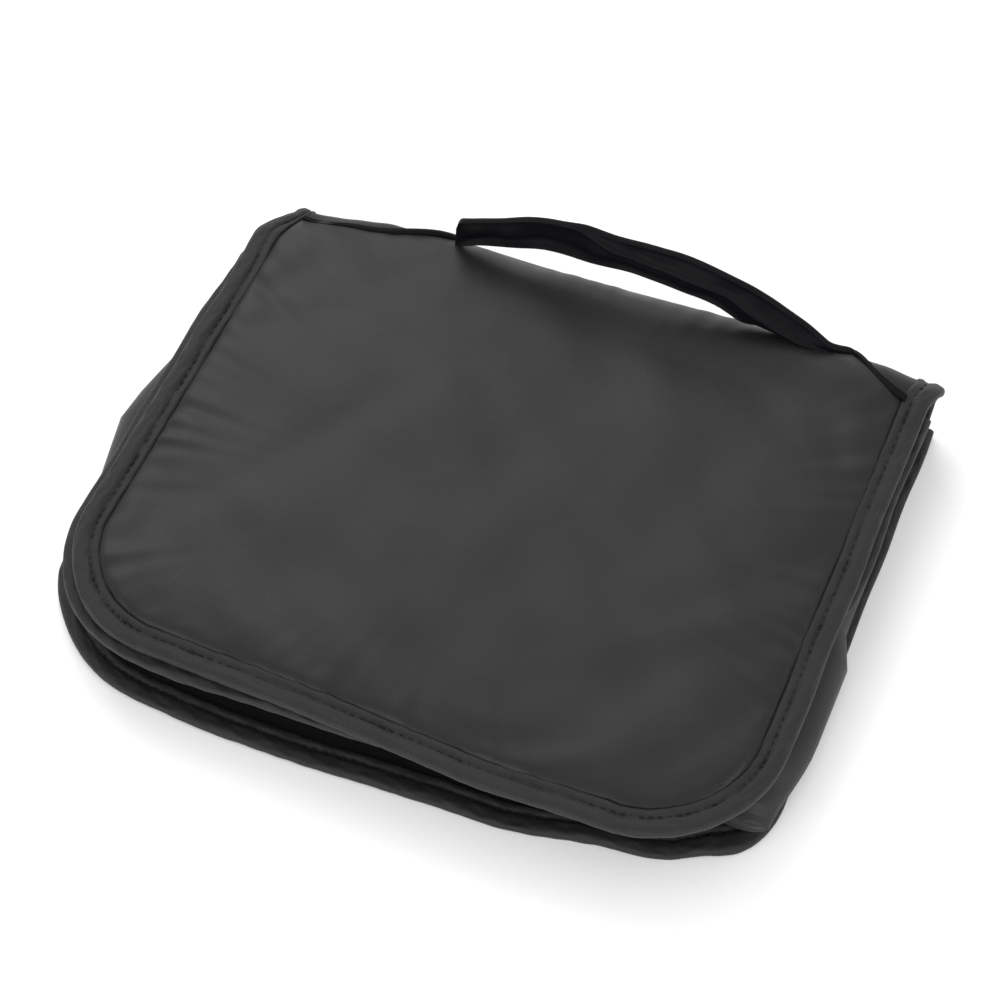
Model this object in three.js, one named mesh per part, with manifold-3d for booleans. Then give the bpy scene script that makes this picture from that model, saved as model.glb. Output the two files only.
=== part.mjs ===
// A film changing bag, folded flat and closed for carrying.
// A long bound cover (back leaf, spine, flap) wraps round a light-tight chamber.
// The chamber is a bag in a bag with two zips. An arm sleeve is gathered up against each
// side of it, and its cuff draws out sideways. A bound light-trap leaf lies under the flap.
// Millimetres, +X to the right, +Y towards the spine, +Z up from the surface it lies on.
import * as THREE from 'three';
import { mergeVertices } from 'three/addons/utils/BufferGeometryUtils.js';
import Module from 'manifold-3d';

const wasm = await Module();
wasm.setup();

// ---- Driving dimensions -------------------------------------------------------------
const COVER_WIDTH = 240; // across the bound sides
const COVER_LENGTH = 200; // from the bound front edge to the back of the spine
const CORNER_R = 43; // front corners, at the outside of the binding
const BINDING_WIDTH = 9; // what shows of a 20 mm tape folded round the edge
const GAP = 0.3; // air between touching layers
const CORNER_STEPS = 10; // straight pieces in each rounded corner

const HALF = COVER_WIDTH / 2;
const BACK_HALF = HALF + 4; // the back leaf is wider, because the full chamber spreads it
const FRONT = -COVER_LENGTH / 2;
const BACK = COVER_LENGTH / 2;

// Cloth thicknesses.
const SKIN = 0.8; // one wall of the cover's binding
const SHELL = 0.8; // outer nylon of the cover
const LINING = 0.6;
const EDGE = 1.2; // binding left outside the cloth at its edge

// Layer offsets inside a bound leaf, from its underside.
const LEAF_LINING = SKIN + GAP;
const LEAF_SHELL = LEAF_LINING + LINING + GAP;
const LEAF_THICK = LEAF_SHELL + SHELL + GAP + SKIN;

// ---- Solids and meshes --------------------------------------------------------------
function solid(geometry) {
  const bare = geometry.clone();
  bare.deleteAttribute('normal');
  bare.deleteAttribute('uv');
  const merged = mergeVertices(bare, 1e-4);
  const triVerts = new Uint32Array(merged.index.array);
  const vertProperties = merged.attributes.position.array;
  return new wasm.Manifold(new wasm.Mesh({ numProp: 3, vertProperties, triVerts }));
}

function geometryOf(made) {
  const mesh = made.getMesh();
  const geometry = new THREE.BufferGeometry();
  geometry.setAttribute('position', new THREE.BufferAttribute(mesh.vertProperties, 3));
  geometry.setIndex(new THREE.BufferAttribute(mesh.triVerts, 1));
  const flat = geometry.toNonIndexed();
  flat.computeVertexNormals();
  return flat;
}

const join = (first, ...others) =>
  geometryOf(others.reduce((sum, g) => sum.add(solid(g)), solid(first)));
const cut = (first, ...others) =>
  geometryOf(others.reduce((left, g) => left.subtract(solid(g)), solid(first)));

function slab(shape, bottom, top) {
  const made = new THREE.ExtrudeGeometry(shape, {
    depth: top - bottom,
    bevelEnabled: false,
    curveSegments: CORNER_STEPS,
  });
  return made.translate(0, 0, bottom);
}

function box(low, high) {
  const size = high.map((v, i) => v - low[i]);
  const middle = high.map((v, i) => (v + low[i]) / 2);
  return new THREE.BoxGeometry(...size).translate(...middle);
}

// A leaf's outline seen from above: rounded front corners, square at the back.
// inset moves the sides and the front inwards; the back edge stays.
function leafOutline(leaf, inset, back = leaf.back) {
  const half = leaf.half - inset;
  const front = leaf.front + inset;
  const r = leaf.radius - inset;
  const shape = new THREE.Shape();
  shape.moveTo(half, back);
  shape.lineTo(-half, back);
  shape.lineTo(-half, front + r);
  shape.absarc(-half + r, front + r, r, Math.PI, 1.5 * Math.PI);
  shape.lineTo(half - r, front);
  shape.absarc(half - r, front + r, r, 1.5 * Math.PI, 2 * Math.PI);
  shape.closePath();
  return shape;
}

// The U of tape folded round a leaf's sides and front, with a groove for the cloth.
function bindingTape(leaf, bottom, thick, skin) {
  const past = leaf.back + 1;
  const body = slab(leafOutline(leaf, 0), bottom, bottom + thick);
  const middle = slab(leafOutline(leaf, BINDING_WIDTH, past), bottom - 1, bottom + thick + 1);
  const groove = slab(leafOutline(leaf, EDGE, past), bottom + skin, bottom + thick - skin);
  return cut(body, middle, groove);
}

// ---- Finishes -----------------------------------------------------------------------
const finish = (color, roughness, metalness = 0) =>
  new THREE.MeshStandardMaterial({ color, roughness, metalness });
const NYLON = finish(0x3d3c3e, 0.55);
const TAPE = finish(0x323133, 0.75);
const LINER = finish(0x1c1c1e, 0.6);
const WEBBING = finish(0x1e1e21, 0.7);
const FOAM = finish(0x2a2a2c, 0.9);
const HOOK_LOOP = finish(0x161617, 0.95);
const ELASTIC = finish(0x2b2b2e, 0.8);
const COIL = finish(0x19191a, 0.45);
const ZIP_METAL = finish(0x2f3033, 0.35, 0.9);

const bag = new THREE.Group();

function piece(name, geometry, material) {
  const mesh = new THREE.Mesh(geometry, material);
  mesh.name = name;
  bag.add(mesh);
  return mesh;
}

// ---- Back leaf: what the bag lies on ------------------------------------------------
const backLeaf = { half: BACK_HALF, front: FRONT, back: BACK - 0.5, radius: CORNER_R };
const CLOTH_INSET = EDGE + GAP;
const INNER_INSET = BINDING_WIDTH + GAP;

// The back leaf lies face down, so its shell is below its lining.
const backShellTop = SKIN + GAP + SHELL;
const backLiningBottom = backShellTop + GAP;
const backLiningTop = backLiningBottom + LINING;
piece('back_binding', bindingTape(backLeaf, 0, LEAF_THICK, SKIN), TAPE);
piece('back_panel', join(
  slab(leafOutline(backLeaf, CLOTH_INSET), SKIN + GAP, backShellTop),
  slab(leafOutline(backLeaf, INNER_INSET), 0, backShellTop),
), NYLON);
piece('back_lining', slab(leafOutline(backLeaf, CLOTH_INSET), backLiningBottom, backLiningTop), LINER);

// ---- Changing chamber ---------------------------------------------------------------
const WALL = 1; // outer cloth of the chamber, a doubled nylon
const LINER_WALL = 0.7;
const CHAMBER_INSET = 14; // back from the cover's edges
const ZIP_FRONT_ROOM = 11.2; // from the outer front wall to the liner's, for the inner zip
const CHAMBER_BOTTOM = backLiningTop + GAP;
const GUSSET_HEIGHT = 16.4;
const CHAMBER_HALF = 78; // leaves room beside it for the gathered sleeves

const chamber = {
  half: CHAMBER_HALF,
  front: FRONT + CHAMBER_INSET,
  back: BACK - 11,
  radius: 12,
};
const gussetBottom = CHAMBER_BOTTOM + SHELL + GAP;
const gussetTop = gussetBottom + GUSSET_HEIGHT;
const lidBottom = gussetTop + GAP;
const lidTop = lidBottom + SHELL;
const zipZ = (gussetBottom + gussetTop) / 2;

const ZIP_LENGTH = 128;
const ZIP_SLOT = 2.6; // height of the slit that the zip closes
const ARMHOLE = { middle: -8, half: 48, height: 12 };

function zipSlot(wallFront, wall) {
  return box(
    [-ZIP_LENGTH / 2 + 2, wallFront - 1, zipZ - ZIP_SLOT / 2],
    [ZIP_LENGTH / 2 - 2, wallFront + wall + 1, zipZ + ZIP_SLOT / 2],
  );
}
function armholes(half) {
  const tall = ARMHOLE.height / 2;
  return box(
    [-half - 1, ARMHOLE.middle - ARMHOLE.half, zipZ - tall],
    [half + 1, ARMHOLE.middle + ARMHOLE.half, zipZ + tall],
  );
}
// A wall that runs all the way round, with the zip slit and both armholes cut in it.
function roundWall(leaf, wall, bottom, top) {
  return cut(
    slab(leafOutline(leaf, 0), bottom, top),
    slab(leafOutline(leaf, wall, leaf.back - wall), bottom - 1, top + 1),
    zipSlot(leaf.front, wall),
    armholes(leaf.half),
  );
}

piece('chamber_floor', slab(leafOutline(chamber, 0), CHAMBER_BOTTOM, CHAMBER_BOTTOM + SHELL), NYLON);
piece('chamber_gusset', roundWall(chamber, WALL, gussetBottom, gussetTop), NYLON);
piece('chamber_lid', slab(leafOutline(chamber, 0), lidBottom, lidTop), NYLON);

// The light-tight inner bag hangs inside the outer one.
const liner = {
  half: chamber.half - WALL - 2,
  front: chamber.front + WALL + ZIP_FRONT_ROOM,
  back: chamber.back - WALL - 2,
  radius: 8,
};
const linerWallBottom = gussetBottom + LINING + GAP;
const linerWallTop = gussetTop - LINING - GAP;
piece('liner_floor', slab(leafOutline(liner, 0), gussetBottom, gussetBottom + LINING), LINER);
piece('liner_wall', roundWall(liner, LINER_WALL, linerWallBottom, linerWallTop), LINER);
piece('liner_lid', slab(leafOutline(liner, 0), gussetTop - LINING, gussetTop), LINER);

// ---- Zips ---------------------------------------------------------------------------
const TAPE_THICK = 0.6;
const COIL_THICK = 1.3;
const COIL_HEIGHT = 1.4;
const COIL_SPLIT = 0.5; // between the two rows
const SLIDER = { length: 9, tall: 6.4, plate: 1.2, lip: 1.2 };
const BRIDGE = { half: 3, leg: 1.2, tall: 0.8, rise: 2 };
const PULLER = { thick: 1.2, half: 2.2, eye: 4.2, hole: 1.1 };

// A closed zip on a wall that faces the front. wallFront is the wall's outer face.
function zip(prefix, wallFront, tapeHeight, pullerLength, sliderX) {
  const half = ZIP_LENGTH / 2;
  const tapeBack = wallFront - GAP;
  const tapeFront = tapeBack - TAPE_THICK;
  const coilBack = tapeFront - GAP;
  const coilFront = coilBack - COIL_THICK;
  for (const [side, up] of [['upper', 1], ['lower', -1]]) {
    const strip = (near, far, front, back) => box(
      [-half, front, zipZ + Math.min(up * near, up * far)],
      [half, back, zipZ + Math.max(up * near, up * far)],
    );
    piece(`${prefix}_${side}_tape`, strip(GAP / 2, tapeHeight, tapeFront, tapeBack), TAPE);
    piece(`${prefix}_${side}_coil`,
      strip(COIL_SPLIT / 2, COIL_SPLIT / 2 + COIL_HEIGHT, coilFront, coilBack), COIL);
  }
  const stopTall = COIL_SPLIT / 2 + COIL_HEIGHT;
  for (const [side, way] of [['left', -1], ['right', 1]]) {
    const near = way * (half + GAP);
    const far = way * (half + GAP + 2);
    piece(`${prefix}_${side}_stop`, box(
      [Math.min(near, far), coilFront, zipZ - stopTall],
      [Math.max(near, far), coilBack, zipZ + stopTall],
    ), ZIP_METAL);
  }
  // Slider: a plate with lips over and under the coils, and a bridge for the puller.
  const plateBack = coilFront - GAP;
  const plateFront = plateBack - SLIDER.plate;
  const x0 = sliderX - SLIDER.length / 2;
  const x1 = sliderX + SLIDER.length / 2;
  const tall = SLIDER.tall / 2;
  const channel = cut(
    box([x0, plateFront, zipZ - tall], [x1, coilBack, zipZ + tall]),
    box([x0 - 1, plateBack, zipZ - tall + SLIDER.lip],
      [x1 + 1, coilBack + 1, zipZ + tall - SLIDER.lip]),
  );
  const bridgeFront = plateFront - BRIDGE.rise - 1;
  const window = BRIDGE.half - BRIDGE.leg;
  const bridge = cut(
    box([sliderX - BRIDGE.half, bridgeFront, zipZ - BRIDGE.tall],
      [sliderX + BRIDGE.half, plateFront + 0.2, zipZ + BRIDGE.tall]),
    box([sliderX - window, bridgeFront + 1, zipZ - 2], [sliderX + window, plateFront, zipZ + 2]),
  );
  piece(`${prefix}_slider`, join(channel, bridge), ZIP_METAL);
  // Puller: its crossbar sits under the bridge, and its eye goes round the bridge's leg.
  const axisY = plateFront - BRIDGE.rise / 2;
  const bar = PULLER.thick / 2;
  piece(`${prefix}_puller`, cut(
    box([sliderX - bar, axisY - bar, zipZ - PULLER.half],
      [sliderX + pullerLength, axisY + bar, zipZ + PULLER.half]),
    box([sliderX + bar, axisY - 2, zipZ - PULLER.hole],
      [sliderX + PULLER.eye, axisY + 2, zipZ + PULLER.hole]),
  ), ZIP_METAL);
}
zip('outer_zip', chamber.front, 3.8, 22, -ZIP_LENGTH / 2 + 6);
zip('inner_zip', liner.front, 3.1, 12, -ZIP_LENGTH / 2 + 6);

// ---- Arm sleeves --------------------------------------------------------------------
const SLEEVE_WALL = 0.7;
const COLLAR = { length: 2.6, half: 55, height: 15.2, wall: 1.2 };
const PLEAT = { count: 5, length: 4.7, half: 55, height: 15.2, fold: 3 };
const CUFF = { length: 15.6, half: 46, height: 14, wall: 1.8, skin: 0.45, pocket: 9 };
const SECTION_STEPS = 6; // straight pieces in each half round side

// A flattened tube's section, as points across (Y) and up (Z).
function flatOval(half, height, inset) {
  const r = height / 2 - inset;
  const straight = half - height / 2;
  const points = [];
  for (const [side, turn] of [[1, -0.5], [-1, 0.5]]) {
    for (let i = 0; i <= SECTION_STEPS; i += 1) {
      const a = Math.PI * (turn + i / SECTION_STEPS);
      points.push([side * straight + r * Math.cos(a), r * Math.sin(a)]);
    }
  }
  return points;
}

// A tube with open ends along X; each station is [x, half width, height, wall].
function openTube(stations, middleY, middleZ) {
  const rings = [];
  for (const [x, half, height, wall] of stations) {
    for (const inset of [0, wall]) {
      rings.push(flatOval(half, height, inset).map(([y, z]) => [x, middleY + y, middleZ + z]));
    }
  }
  const around = rings[0].length;
  const last = stations.length - 1;
  const faces = [];
  const quad = (a, b, c, d) => faces.push(a, b, c, a, c, d);
  const at = (ring, i) => ring * around + (i % around);
  for (let i = 0; i < around; i += 1) {
    for (let s = 0; s < last; s += 1) {
      quad(at(2 * s, i), at(2 * s, i + 1), at(2 * s + 2, i + 1), at(2 * s + 2, i));
      quad(at(2 * s + 3, i), at(2 * s + 3, i + 1), at(2 * s + 1, i + 1), at(2 * s + 1, i));
    }
    quad(at(1, i), at(1, i + 1), at(0, i + 1), at(0, i));
    quad(at(2 * last, i), at(2 * last, i + 1), at(2 * last + 1, i + 1), at(2 * last + 1, i));
  }
  const geometry = new THREE.BufferGeometry();
  geometry.setAttribute('position', new THREE.Float32BufferAttribute(rings.flat(2), 3));
  geometry.setIndex(faces);
  const flat = geometry.toNonIndexed();
  flat.computeVertexNormals();
  return flat;
}

function sleeve(name, side) {
  const tube = (stations) => {
    const made = openTube(stations, ARMHOLE.middle, zipZ);
    return side < 0 ? made.rotateZ(Math.PI).translate(0, 2 * ARMHOLE.middle, 0) : made;
  };
  // The collar is sewn round the armhole.
  const collarStart = chamber.half + GAP;
  const collarEnd = collarStart + COLLAR.length;
  piece(`sleeve_collar_${name}`, tube([
    [collarStart, COLLAR.half, COLLAR.height, COLLAR.wall],
    [collarEnd, COLLAR.half, COLLAR.height, COLLAR.wall],
  ]), TAPE);
  // The sleeve is gathered into pleats between the collar and the cuff.
  const pleats = [];
  for (let i = 0; i <= 2 * PLEAT.count; i += 1) {
    const x = collarEnd + GAP + (i * PLEAT.length) / 2;
    const drawnIn = i % 2 === 0 ? 0 : PLEAT.fold;
    const narrowed = ((PLEAT.half - CUFF.half) * i) / (2 * PLEAT.count);
    pleats.push([x, PLEAT.half - narrowed - drawnIn, PLEAT.height - drawnIn, SLEEVE_WALL]);
  }
  piece(`sleeve_${name}`, tube(pleats), NYLON);
  // The cuff is a casing with a pocket for the elastic, open at its free end.
  const cuffStart = pleats[pleats.length - 1][0] + GAP;
  const cuffEnd = cuffStart + CUFF.length;
  const pocketWall = CUFF.wall - 2 * CUFF.skin;
  const ring = (start, end, inset, wall) => tube([
    [start, CUFF.half - inset, CUFF.height - 2 * inset, wall],
    [end, CUFF.half - inset, CUFF.height - 2 * inset, wall],
  ]);
  piece(`cuff_${name}`, cut(
    ring(cuffStart, cuffEnd, 0, CUFF.wall),
    ring(cuffEnd - CUFF.pocket, cuffEnd + 1, CUFF.skin, pocketWall),
  ), NYLON);
  piece(`elastic_${name}`, ring(
    cuffEnd - CUFF.pocket + GAP, cuffEnd - GAP, CUFF.skin + 0.15, pocketWall - 0.3,
  ), ELASTIC);
}
sleeve('right', 1);
sleeve('left', -1);

// ---- Light-trap leaf ----------------------------------------------------------------
const FOLD_Y = 64; // where the flap folds when it opens
const TRAP_SKIN = 0.7;
const TRAP_THICK = 3.4;
const TRAP_BOTTOM = lidTop + 0.8;
const trapLeaf = { half: HALF + 1.5, front: FRONT + 1, back: FOLD_Y - 2, radius: CORNER_R };
const trapLiningBottom = TRAP_BOTTOM + TRAP_SKIN + GAP;
const trapShellBottom = trapLiningBottom + 0.5 + GAP;
const trapShellTop = trapShellBottom + 0.6;
piece('trap_binding', bindingTape(trapLeaf, TRAP_BOTTOM, TRAP_THICK, TRAP_SKIN), TAPE);
piece('trap_lining', slab(leafOutline(trapLeaf, CLOTH_INSET), trapLiningBottom, trapLiningBottom + 0.5), LINER);
piece('trap_panel', slab(leafOutline(trapLeaf, CLOTH_INSET), trapShellBottom, trapShellTop), NYLON);

// ---- Flap ---------------------------------------------------------------------------
const FLAP_BOTTOM = TRAP_BOTTOM + TRAP_THICK + GAP;
const FLAP_TOP = FLAP_BOTTOM + LEAF_THICK;
const PAD_RISE = 1.8; // how far the padded middle stands above the binding
const PAD_SETBACK = 1.6; // from the fold, so that the pad clears the spine as it opens
const flapLeaf = { half: HALF, front: FRONT, back: FOLD_Y - 0.4, radius: CORNER_R };
const padBack = flapLeaf.back - PAD_SETBACK;
const flapLiningBottom = FLAP_BOTTOM + LEAF_LINING;
const flapShellBottom = FLAP_BOTTOM + LEAF_SHELL;
piece('flap_binding', bindingTape(flapLeaf, FLAP_BOTTOM, LEAF_THICK, SKIN), TAPE);
piece('flap_lining', slab(leafOutline(flapLeaf, CLOTH_INSET), flapLiningBottom, flapLiningBottom + LINING), LINER);
piece('flap_panel', cut(
  join(
    slab(leafOutline(flapLeaf, CLOTH_INSET), flapShellBottom, flapShellBottom + SHELL),
    slab(leafOutline(flapLeaf, INNER_INSET, padBack), flapShellBottom, FLAP_TOP + PAD_RISE),
  ),
  slab(leafOutline(flapLeaf, INNER_INSET + 1, padBack - 1),
    flapShellBottom - 1, FLAP_TOP + PAD_RISE - 1),
), NYLON);
piece('flap_foam', slab(leafOutline(flapLeaf, INNER_INSET + 1 + GAP, padBack - 1 - GAP),
  flapShellBottom, FLAP_TOP + PAD_RISE - 1 - GAP), FOAM);

// Hook and loop closure, in the shallow recess between the two leaves.
const CLOSURE = { half: 40, front: FRONT + 12.5, back: FRONT + 30.5 };
const closurePad = (bottom, top) => box(
  [-CLOSURE.half, CLOSURE.front, bottom],
  [CLOSURE.half, CLOSURE.back, top],
);
const loopTop = TRAP_BOTTOM + TRAP_THICK - 0.3;
piece('closure_loop', closurePad(trapShellTop + 0.2, loopTop), HOOK_LOOP);
piece('closure_hook', closurePad(loopTop + 0.25, flapLiningBottom - 0.2), HOOK_LOOP);

// ---- Spine --------------------------------------------------------------------------
const SPINE_R = 15;
const SPINE_FOOT = LEAF_THICK + GAP; // it stands on the back leaf's rear edge
const SPINE_STEPS = 10;
const SPINE_BEND_Y = BACK - SPINE_R; // where the flat top turns down

// The spine's side profile in YZ, moved inwards from its outer surface.
function spineLine(inset) {
  const r = SPINE_R - inset;
  const points = [[FOLD_Y, FLAP_TOP - inset]];
  for (let i = 0; i <= SPINE_STEPS; i += 1) {
    const a = (Math.PI / 2) * (1 - i / SPINE_STEPS);
    points.push([SPINE_BEND_Y + r * Math.cos(a), FLAP_TOP - SPINE_R + r * Math.sin(a)]);
  }
  points.push([BACK - inset, SPINE_FOOT]);
  return points;
}
// A curved sheet between two insets, from x0 to x1.
function spineSheet(outer, inner, x0, x1) {
  const loop = [...spineLine(outer), ...spineLine(inner).reverse()];
  const shape = new THREE.Shape(loop.map(([y, z]) => new THREE.Vector2(y, z)));
  const made = new THREE.ExtrudeGeometry(shape, { depth: x1 - x0, bevelEnabled: false });
  // The extrusion runs along Z with its profile in XY: turn X to Y, Y to Z and Z to X.
  return made.rotateY(Math.PI / 2).rotateX(Math.PI / 2).translate(x0, 0, 0);
}
const clothHalf = HALF - CLOTH_INSET;
const innerHalf = HALF - INNER_INSET;
const spineShell = SKIN + GAP + SHELL;
piece('spine_panel', join(
  spineSheet(SKIN + GAP, spineShell, -clothHalf, clothHalf),
  spineSheet(0, spineShell, -innerHalf, innerHalf),
), NYLON);
piece('spine_lining', spineSheet(spineShell + GAP, spineShell + GAP + LINING, -clothHalf, clothHalf), LINER);
for (const [name, side] of [['left', -1], ['right', 1]]) {
  const spans = (near, far) => [Math.min(side * near, side * far), Math.max(side * near, side * far)];
  piece(`spine_binding_${name}`, cut(
    spineSheet(0, LEAF_THICK, ...spans(HALF - BINDING_WIDTH, HALF)),
    spineSheet(SKIN, LEAF_THICK - SKIN, ...spans(HALF - BINDING_WIDTH - 1, HALF - EDGE)),
    // the groove runs out past the front end and the foot
    box([side > 0 ? HALF - BINDING_WIDTH - 1 : -HALF + EDGE, FOLD_Y - 1, FLAP_TOP - LEAF_THICK + SKIN],
      [side > 0 ? HALF - EDGE : -HALF + BINDING_WIDTH + 1, FOLD_Y + 0.1, FLAP_TOP - SKIN]),
    box([side > 0 ? HALF - BINDING_WIDTH - 1 : -HALF + EDGE, BACK - LEAF_THICK + SKIN, SPINE_FOOT - 1],
      [side > 0 ? HALF - EDGE : -HALF + BINDING_WIDTH + 1, BACK - SKIN, SPINE_FOOT + 0.1]),
  ), TAPE);
}

// ---- Handle -------------------------------------------------------------------------
// It is sewn in along a seam that bows back over the rounded spine between its ends.
const SEAM_Y = BACK - 7; // at the handle
const SEAM_END_Y = BACK - 16; // at the side bindings
const STRAP_LAYER = 0.8;
const STRAP_FOOT = FLAP_TOP + 0.3;
const HANDLE_LEFT = -53;
const HANDLE_RIGHT = 88;
// How high the strap's two edges arch above its foot, as [x, height].
const LOWER_EDGE = [
  [HANDLE_LEFT, 0], [-48, 1.2], [-19, 10.3], [0, 13], [15, 14.5], [32, 12.1], [50, 4.4],
  [58, 1], [70, 0], [HANDLE_RIGHT, 0],
];
const UPPER_EDGE = [
  [HANDLE_LEFT, 9.6], [-48, 12], [-29, 22.2], [-19, 26.3], [0, 28.8], [15, 28.7], [32, 26.3],
  [50, 25], [69, 16.2], [82, 7.2], [HANDLE_RIGHT, 2.3],
];
const EDGE_STEPS = 40;

function strapLayer(front) {
  const edge = (points) => new THREE.SplineCurve(
    points.map(([x, height]) => new THREE.Vector2(x, STRAP_FOOT + height)),
  ).getPoints(EDGE_STEPS);
  const outline = [...edge(LOWER_EDGE), ...edge(UPPER_EDGE).reverse()];
  return slab(new THREE.Shape(outline), 0, STRAP_LAYER)
    .rotateX(Math.PI / 2)
    .translate(0, front + STRAP_LAYER, 0);
}
piece('handle_front_layer', strapLayer(SEAM_Y - GAP / 2 - STRAP_LAYER), WEBBING);
piece('handle_back_layer', strapLayer(SEAM_Y + GAP / 2), WEBBING);

// The height of the rounded spine's outer surface.
const spineTop = (y) => FLAP_TOP - SPINE_R
  + Math.sqrt(SPINE_R ** 2 - Math.max(0, y - SPINE_BEND_Y) ** 2);

// The strap's tails run on along the seam to the side bindings, as low ridges.
const TAIL_HEIGHT = 2.4;
const TAIL_HALF = 1;
const TAIL_LIFT = 0.9; // a straight ridge has to clear the curve of the spine between its ends
function tail(side, near) {
  const path = [
    new THREE.Vector2(side * near, SEAM_Y - 1),
    new THREE.Vector2(side * innerHalf, SEAM_END_Y),
  ];
  const corners = [];
  for (const end of path) {
    const bottom = spineTop(end.y - TAIL_HALF) + TAIL_LIFT;
    for (const [dy, dz] of [[-1, 0], [1, 0], [1, TAIL_HEIGHT], [-1, TAIL_HEIGHT]]) {
      corners.push(end.x, end.y + dy * TAIL_HALF, bottom + dz);
    }
  }
  const faces = [0, 1, 2, 0, 2, 3, 4, 6, 5, 4, 7, 6];
  for (let i = 0; i < 4; i += 1) {
    const next = (i + 1) % 4;
    faces.push(i, i + 4, next + 4, i, next + 4, next);
  }
  if (side > 0) {
    faces.reverse();
  }
  const made = new THREE.BufferGeometry();
  made.setAttribute('position', new THREE.Float32BufferAttribute(corners, 3));
  made.setIndex(faces);
  const flat = made.toNonIndexed();
  flat.computeVertexNormals();
  return flat;
}
piece('handle_tail_left', tail(-1, -HANDLE_LEFT + 4.8), WEBBING);
piece('handle_tail_right', tail(1, HANDLE_RIGHT + 4.8), WEBBING);

// Bar tacks: the dense rows of stitches that hold each end of the handle.
const TACK = { wide: 3.2, half: 1.6, tall: 1.2 };
function tack(x0) {
  const bottom = spineTop(SEAM_Y - TACK.half) + GAP;
  return box(
    [x0, SEAM_Y - TACK.half, bottom],
    [x0 + TACK.wide, SEAM_Y + TACK.half, bottom + TACK.tall],
  );
}
piece('bar_tack_left', tack(HANDLE_LEFT - 0.9 - TACK.wide), WEBBING);
piece('bar_tack_right', tack(HANDLE_RIGHT + 0.9), WEBBING);

export default bag;
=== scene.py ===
"""The looks of a film changing bag that is folded flat and closed in its own flap cover.

Sizes below are in millimetres in the row frame: +X right, +Y towards the spine, +Z up.
They become metres where a mesh is made.
"""

import math

import bmesh
import bpy
import numpy as np
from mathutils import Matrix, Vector


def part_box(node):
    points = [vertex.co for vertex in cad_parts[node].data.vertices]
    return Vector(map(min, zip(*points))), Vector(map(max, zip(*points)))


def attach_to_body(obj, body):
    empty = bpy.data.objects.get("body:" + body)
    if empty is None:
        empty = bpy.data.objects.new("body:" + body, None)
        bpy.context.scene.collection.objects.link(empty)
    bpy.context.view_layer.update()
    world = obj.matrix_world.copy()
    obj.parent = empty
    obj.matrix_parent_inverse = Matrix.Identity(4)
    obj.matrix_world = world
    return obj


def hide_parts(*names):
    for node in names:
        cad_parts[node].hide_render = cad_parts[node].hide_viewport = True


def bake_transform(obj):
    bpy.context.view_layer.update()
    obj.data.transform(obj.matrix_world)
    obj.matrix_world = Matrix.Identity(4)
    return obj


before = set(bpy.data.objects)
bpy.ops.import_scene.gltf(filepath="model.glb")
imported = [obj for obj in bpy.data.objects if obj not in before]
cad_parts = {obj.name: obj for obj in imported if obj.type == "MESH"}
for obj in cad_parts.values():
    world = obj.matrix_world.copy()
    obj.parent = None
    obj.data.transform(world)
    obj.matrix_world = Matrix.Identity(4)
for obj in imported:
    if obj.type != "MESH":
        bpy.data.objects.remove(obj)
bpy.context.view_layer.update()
MM = 0.001


def box_mm(node):
    low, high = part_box(node)
    return np.array(low) / MM, np.array(high) / MM


# ---- Driving dimensions, read from the frame ----------------------------------------
FLAP_LOW, FLAP_HIGH = box_mm("flap_binding")
TRAP_LOW, TRAP_HIGH = box_mm("trap_binding")
BACK_LOW, BACK_HIGH = box_mm("back_binding")
SPINE_LOW, SPINE_HIGH = box_mm("spine_panel")
CHAMBER_LOW, CHAMBER_HIGH = box_mm("chamber_gusset")
CUFF_LOW, CUFF_HIGH = box_mm("cuff_right")
COLLAR_LOW, COLLAR_HIGH = box_mm("sleeve_collar_right")
HANDLE_LOW, HANDLE_HIGH = box_mm("handle_front_layer")

HALF = FLAP_HIGH[0]
FRONT = FLAP_LOW[1]
BACK = SPINE_HIGH[1]
TOP = FLAP_HIGH[2]  # top of the flap's binding and of the spine
LEAF = FLAP_HIGH[2] - FLAP_LOW[2]  # thickness of a bound leaf
FOLD_Y = SPINE_LOW[1]
CORNER_R = 43.0
SPINE_R = 15.0
BEND_Y = BACK - SPINE_R
TAPE_WIDTH = 9.0
SPINE_RUN = BEND_Y - FOLD_Y + SPINE_R * math.pi / 2 + TOP - SPINE_R  # from the fold down to z = 0
STITCH_IN = 6.0  # the stitch line, from the binding's outer edge
STITCH_PITCH = 3.3
STITCH_LENGTH = 2.5
THREAD_THICK = 0.5
TAPE = 0.6  # thickness of the tape
CLOTH = 0.5  # thickness of the nylon
TUCK = 0.6  # how far the cloth goes under the tape's inner edge
INNER = TAPE_WIDTH - TUCK  # from the cover's edge to the edge of its cloth
CLOTH_HALF = HALF - INNER
CHAMBER_R = 12.0
LINER_R = 8.0
RIM_ANGLE = math.radians(55)  # a sheet's rim is sharp, its faces are smooth


# ---- Soft shapes --------------------------------------------------------------------
def smooth(t):
    t = np.clip(t, 0, 1)
    return t * t * (3 - 2 * t)


def bump_at(x, centre, spread):
    return np.exp(-(((x - centre) / spread) ** 2))


def waves(x, y, length, seed, count=10):
    """Smooth uneven waves of about the given length, between about -1 and 1."""
    rng = np.random.default_rng(seed)
    total = np.zeros(np.broadcast(x, y).shape)
    for _ in range(count):
        angle = rng.uniform(-math.pi, math.pi)
        k = 2 * math.pi / (length * rng.uniform(0.7, 1.5))
        total += np.sin(k * (x * math.cos(angle) + y * math.sin(angle)) + rng.uniform(0, 6.28))
    return total / math.sqrt(count)


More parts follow.
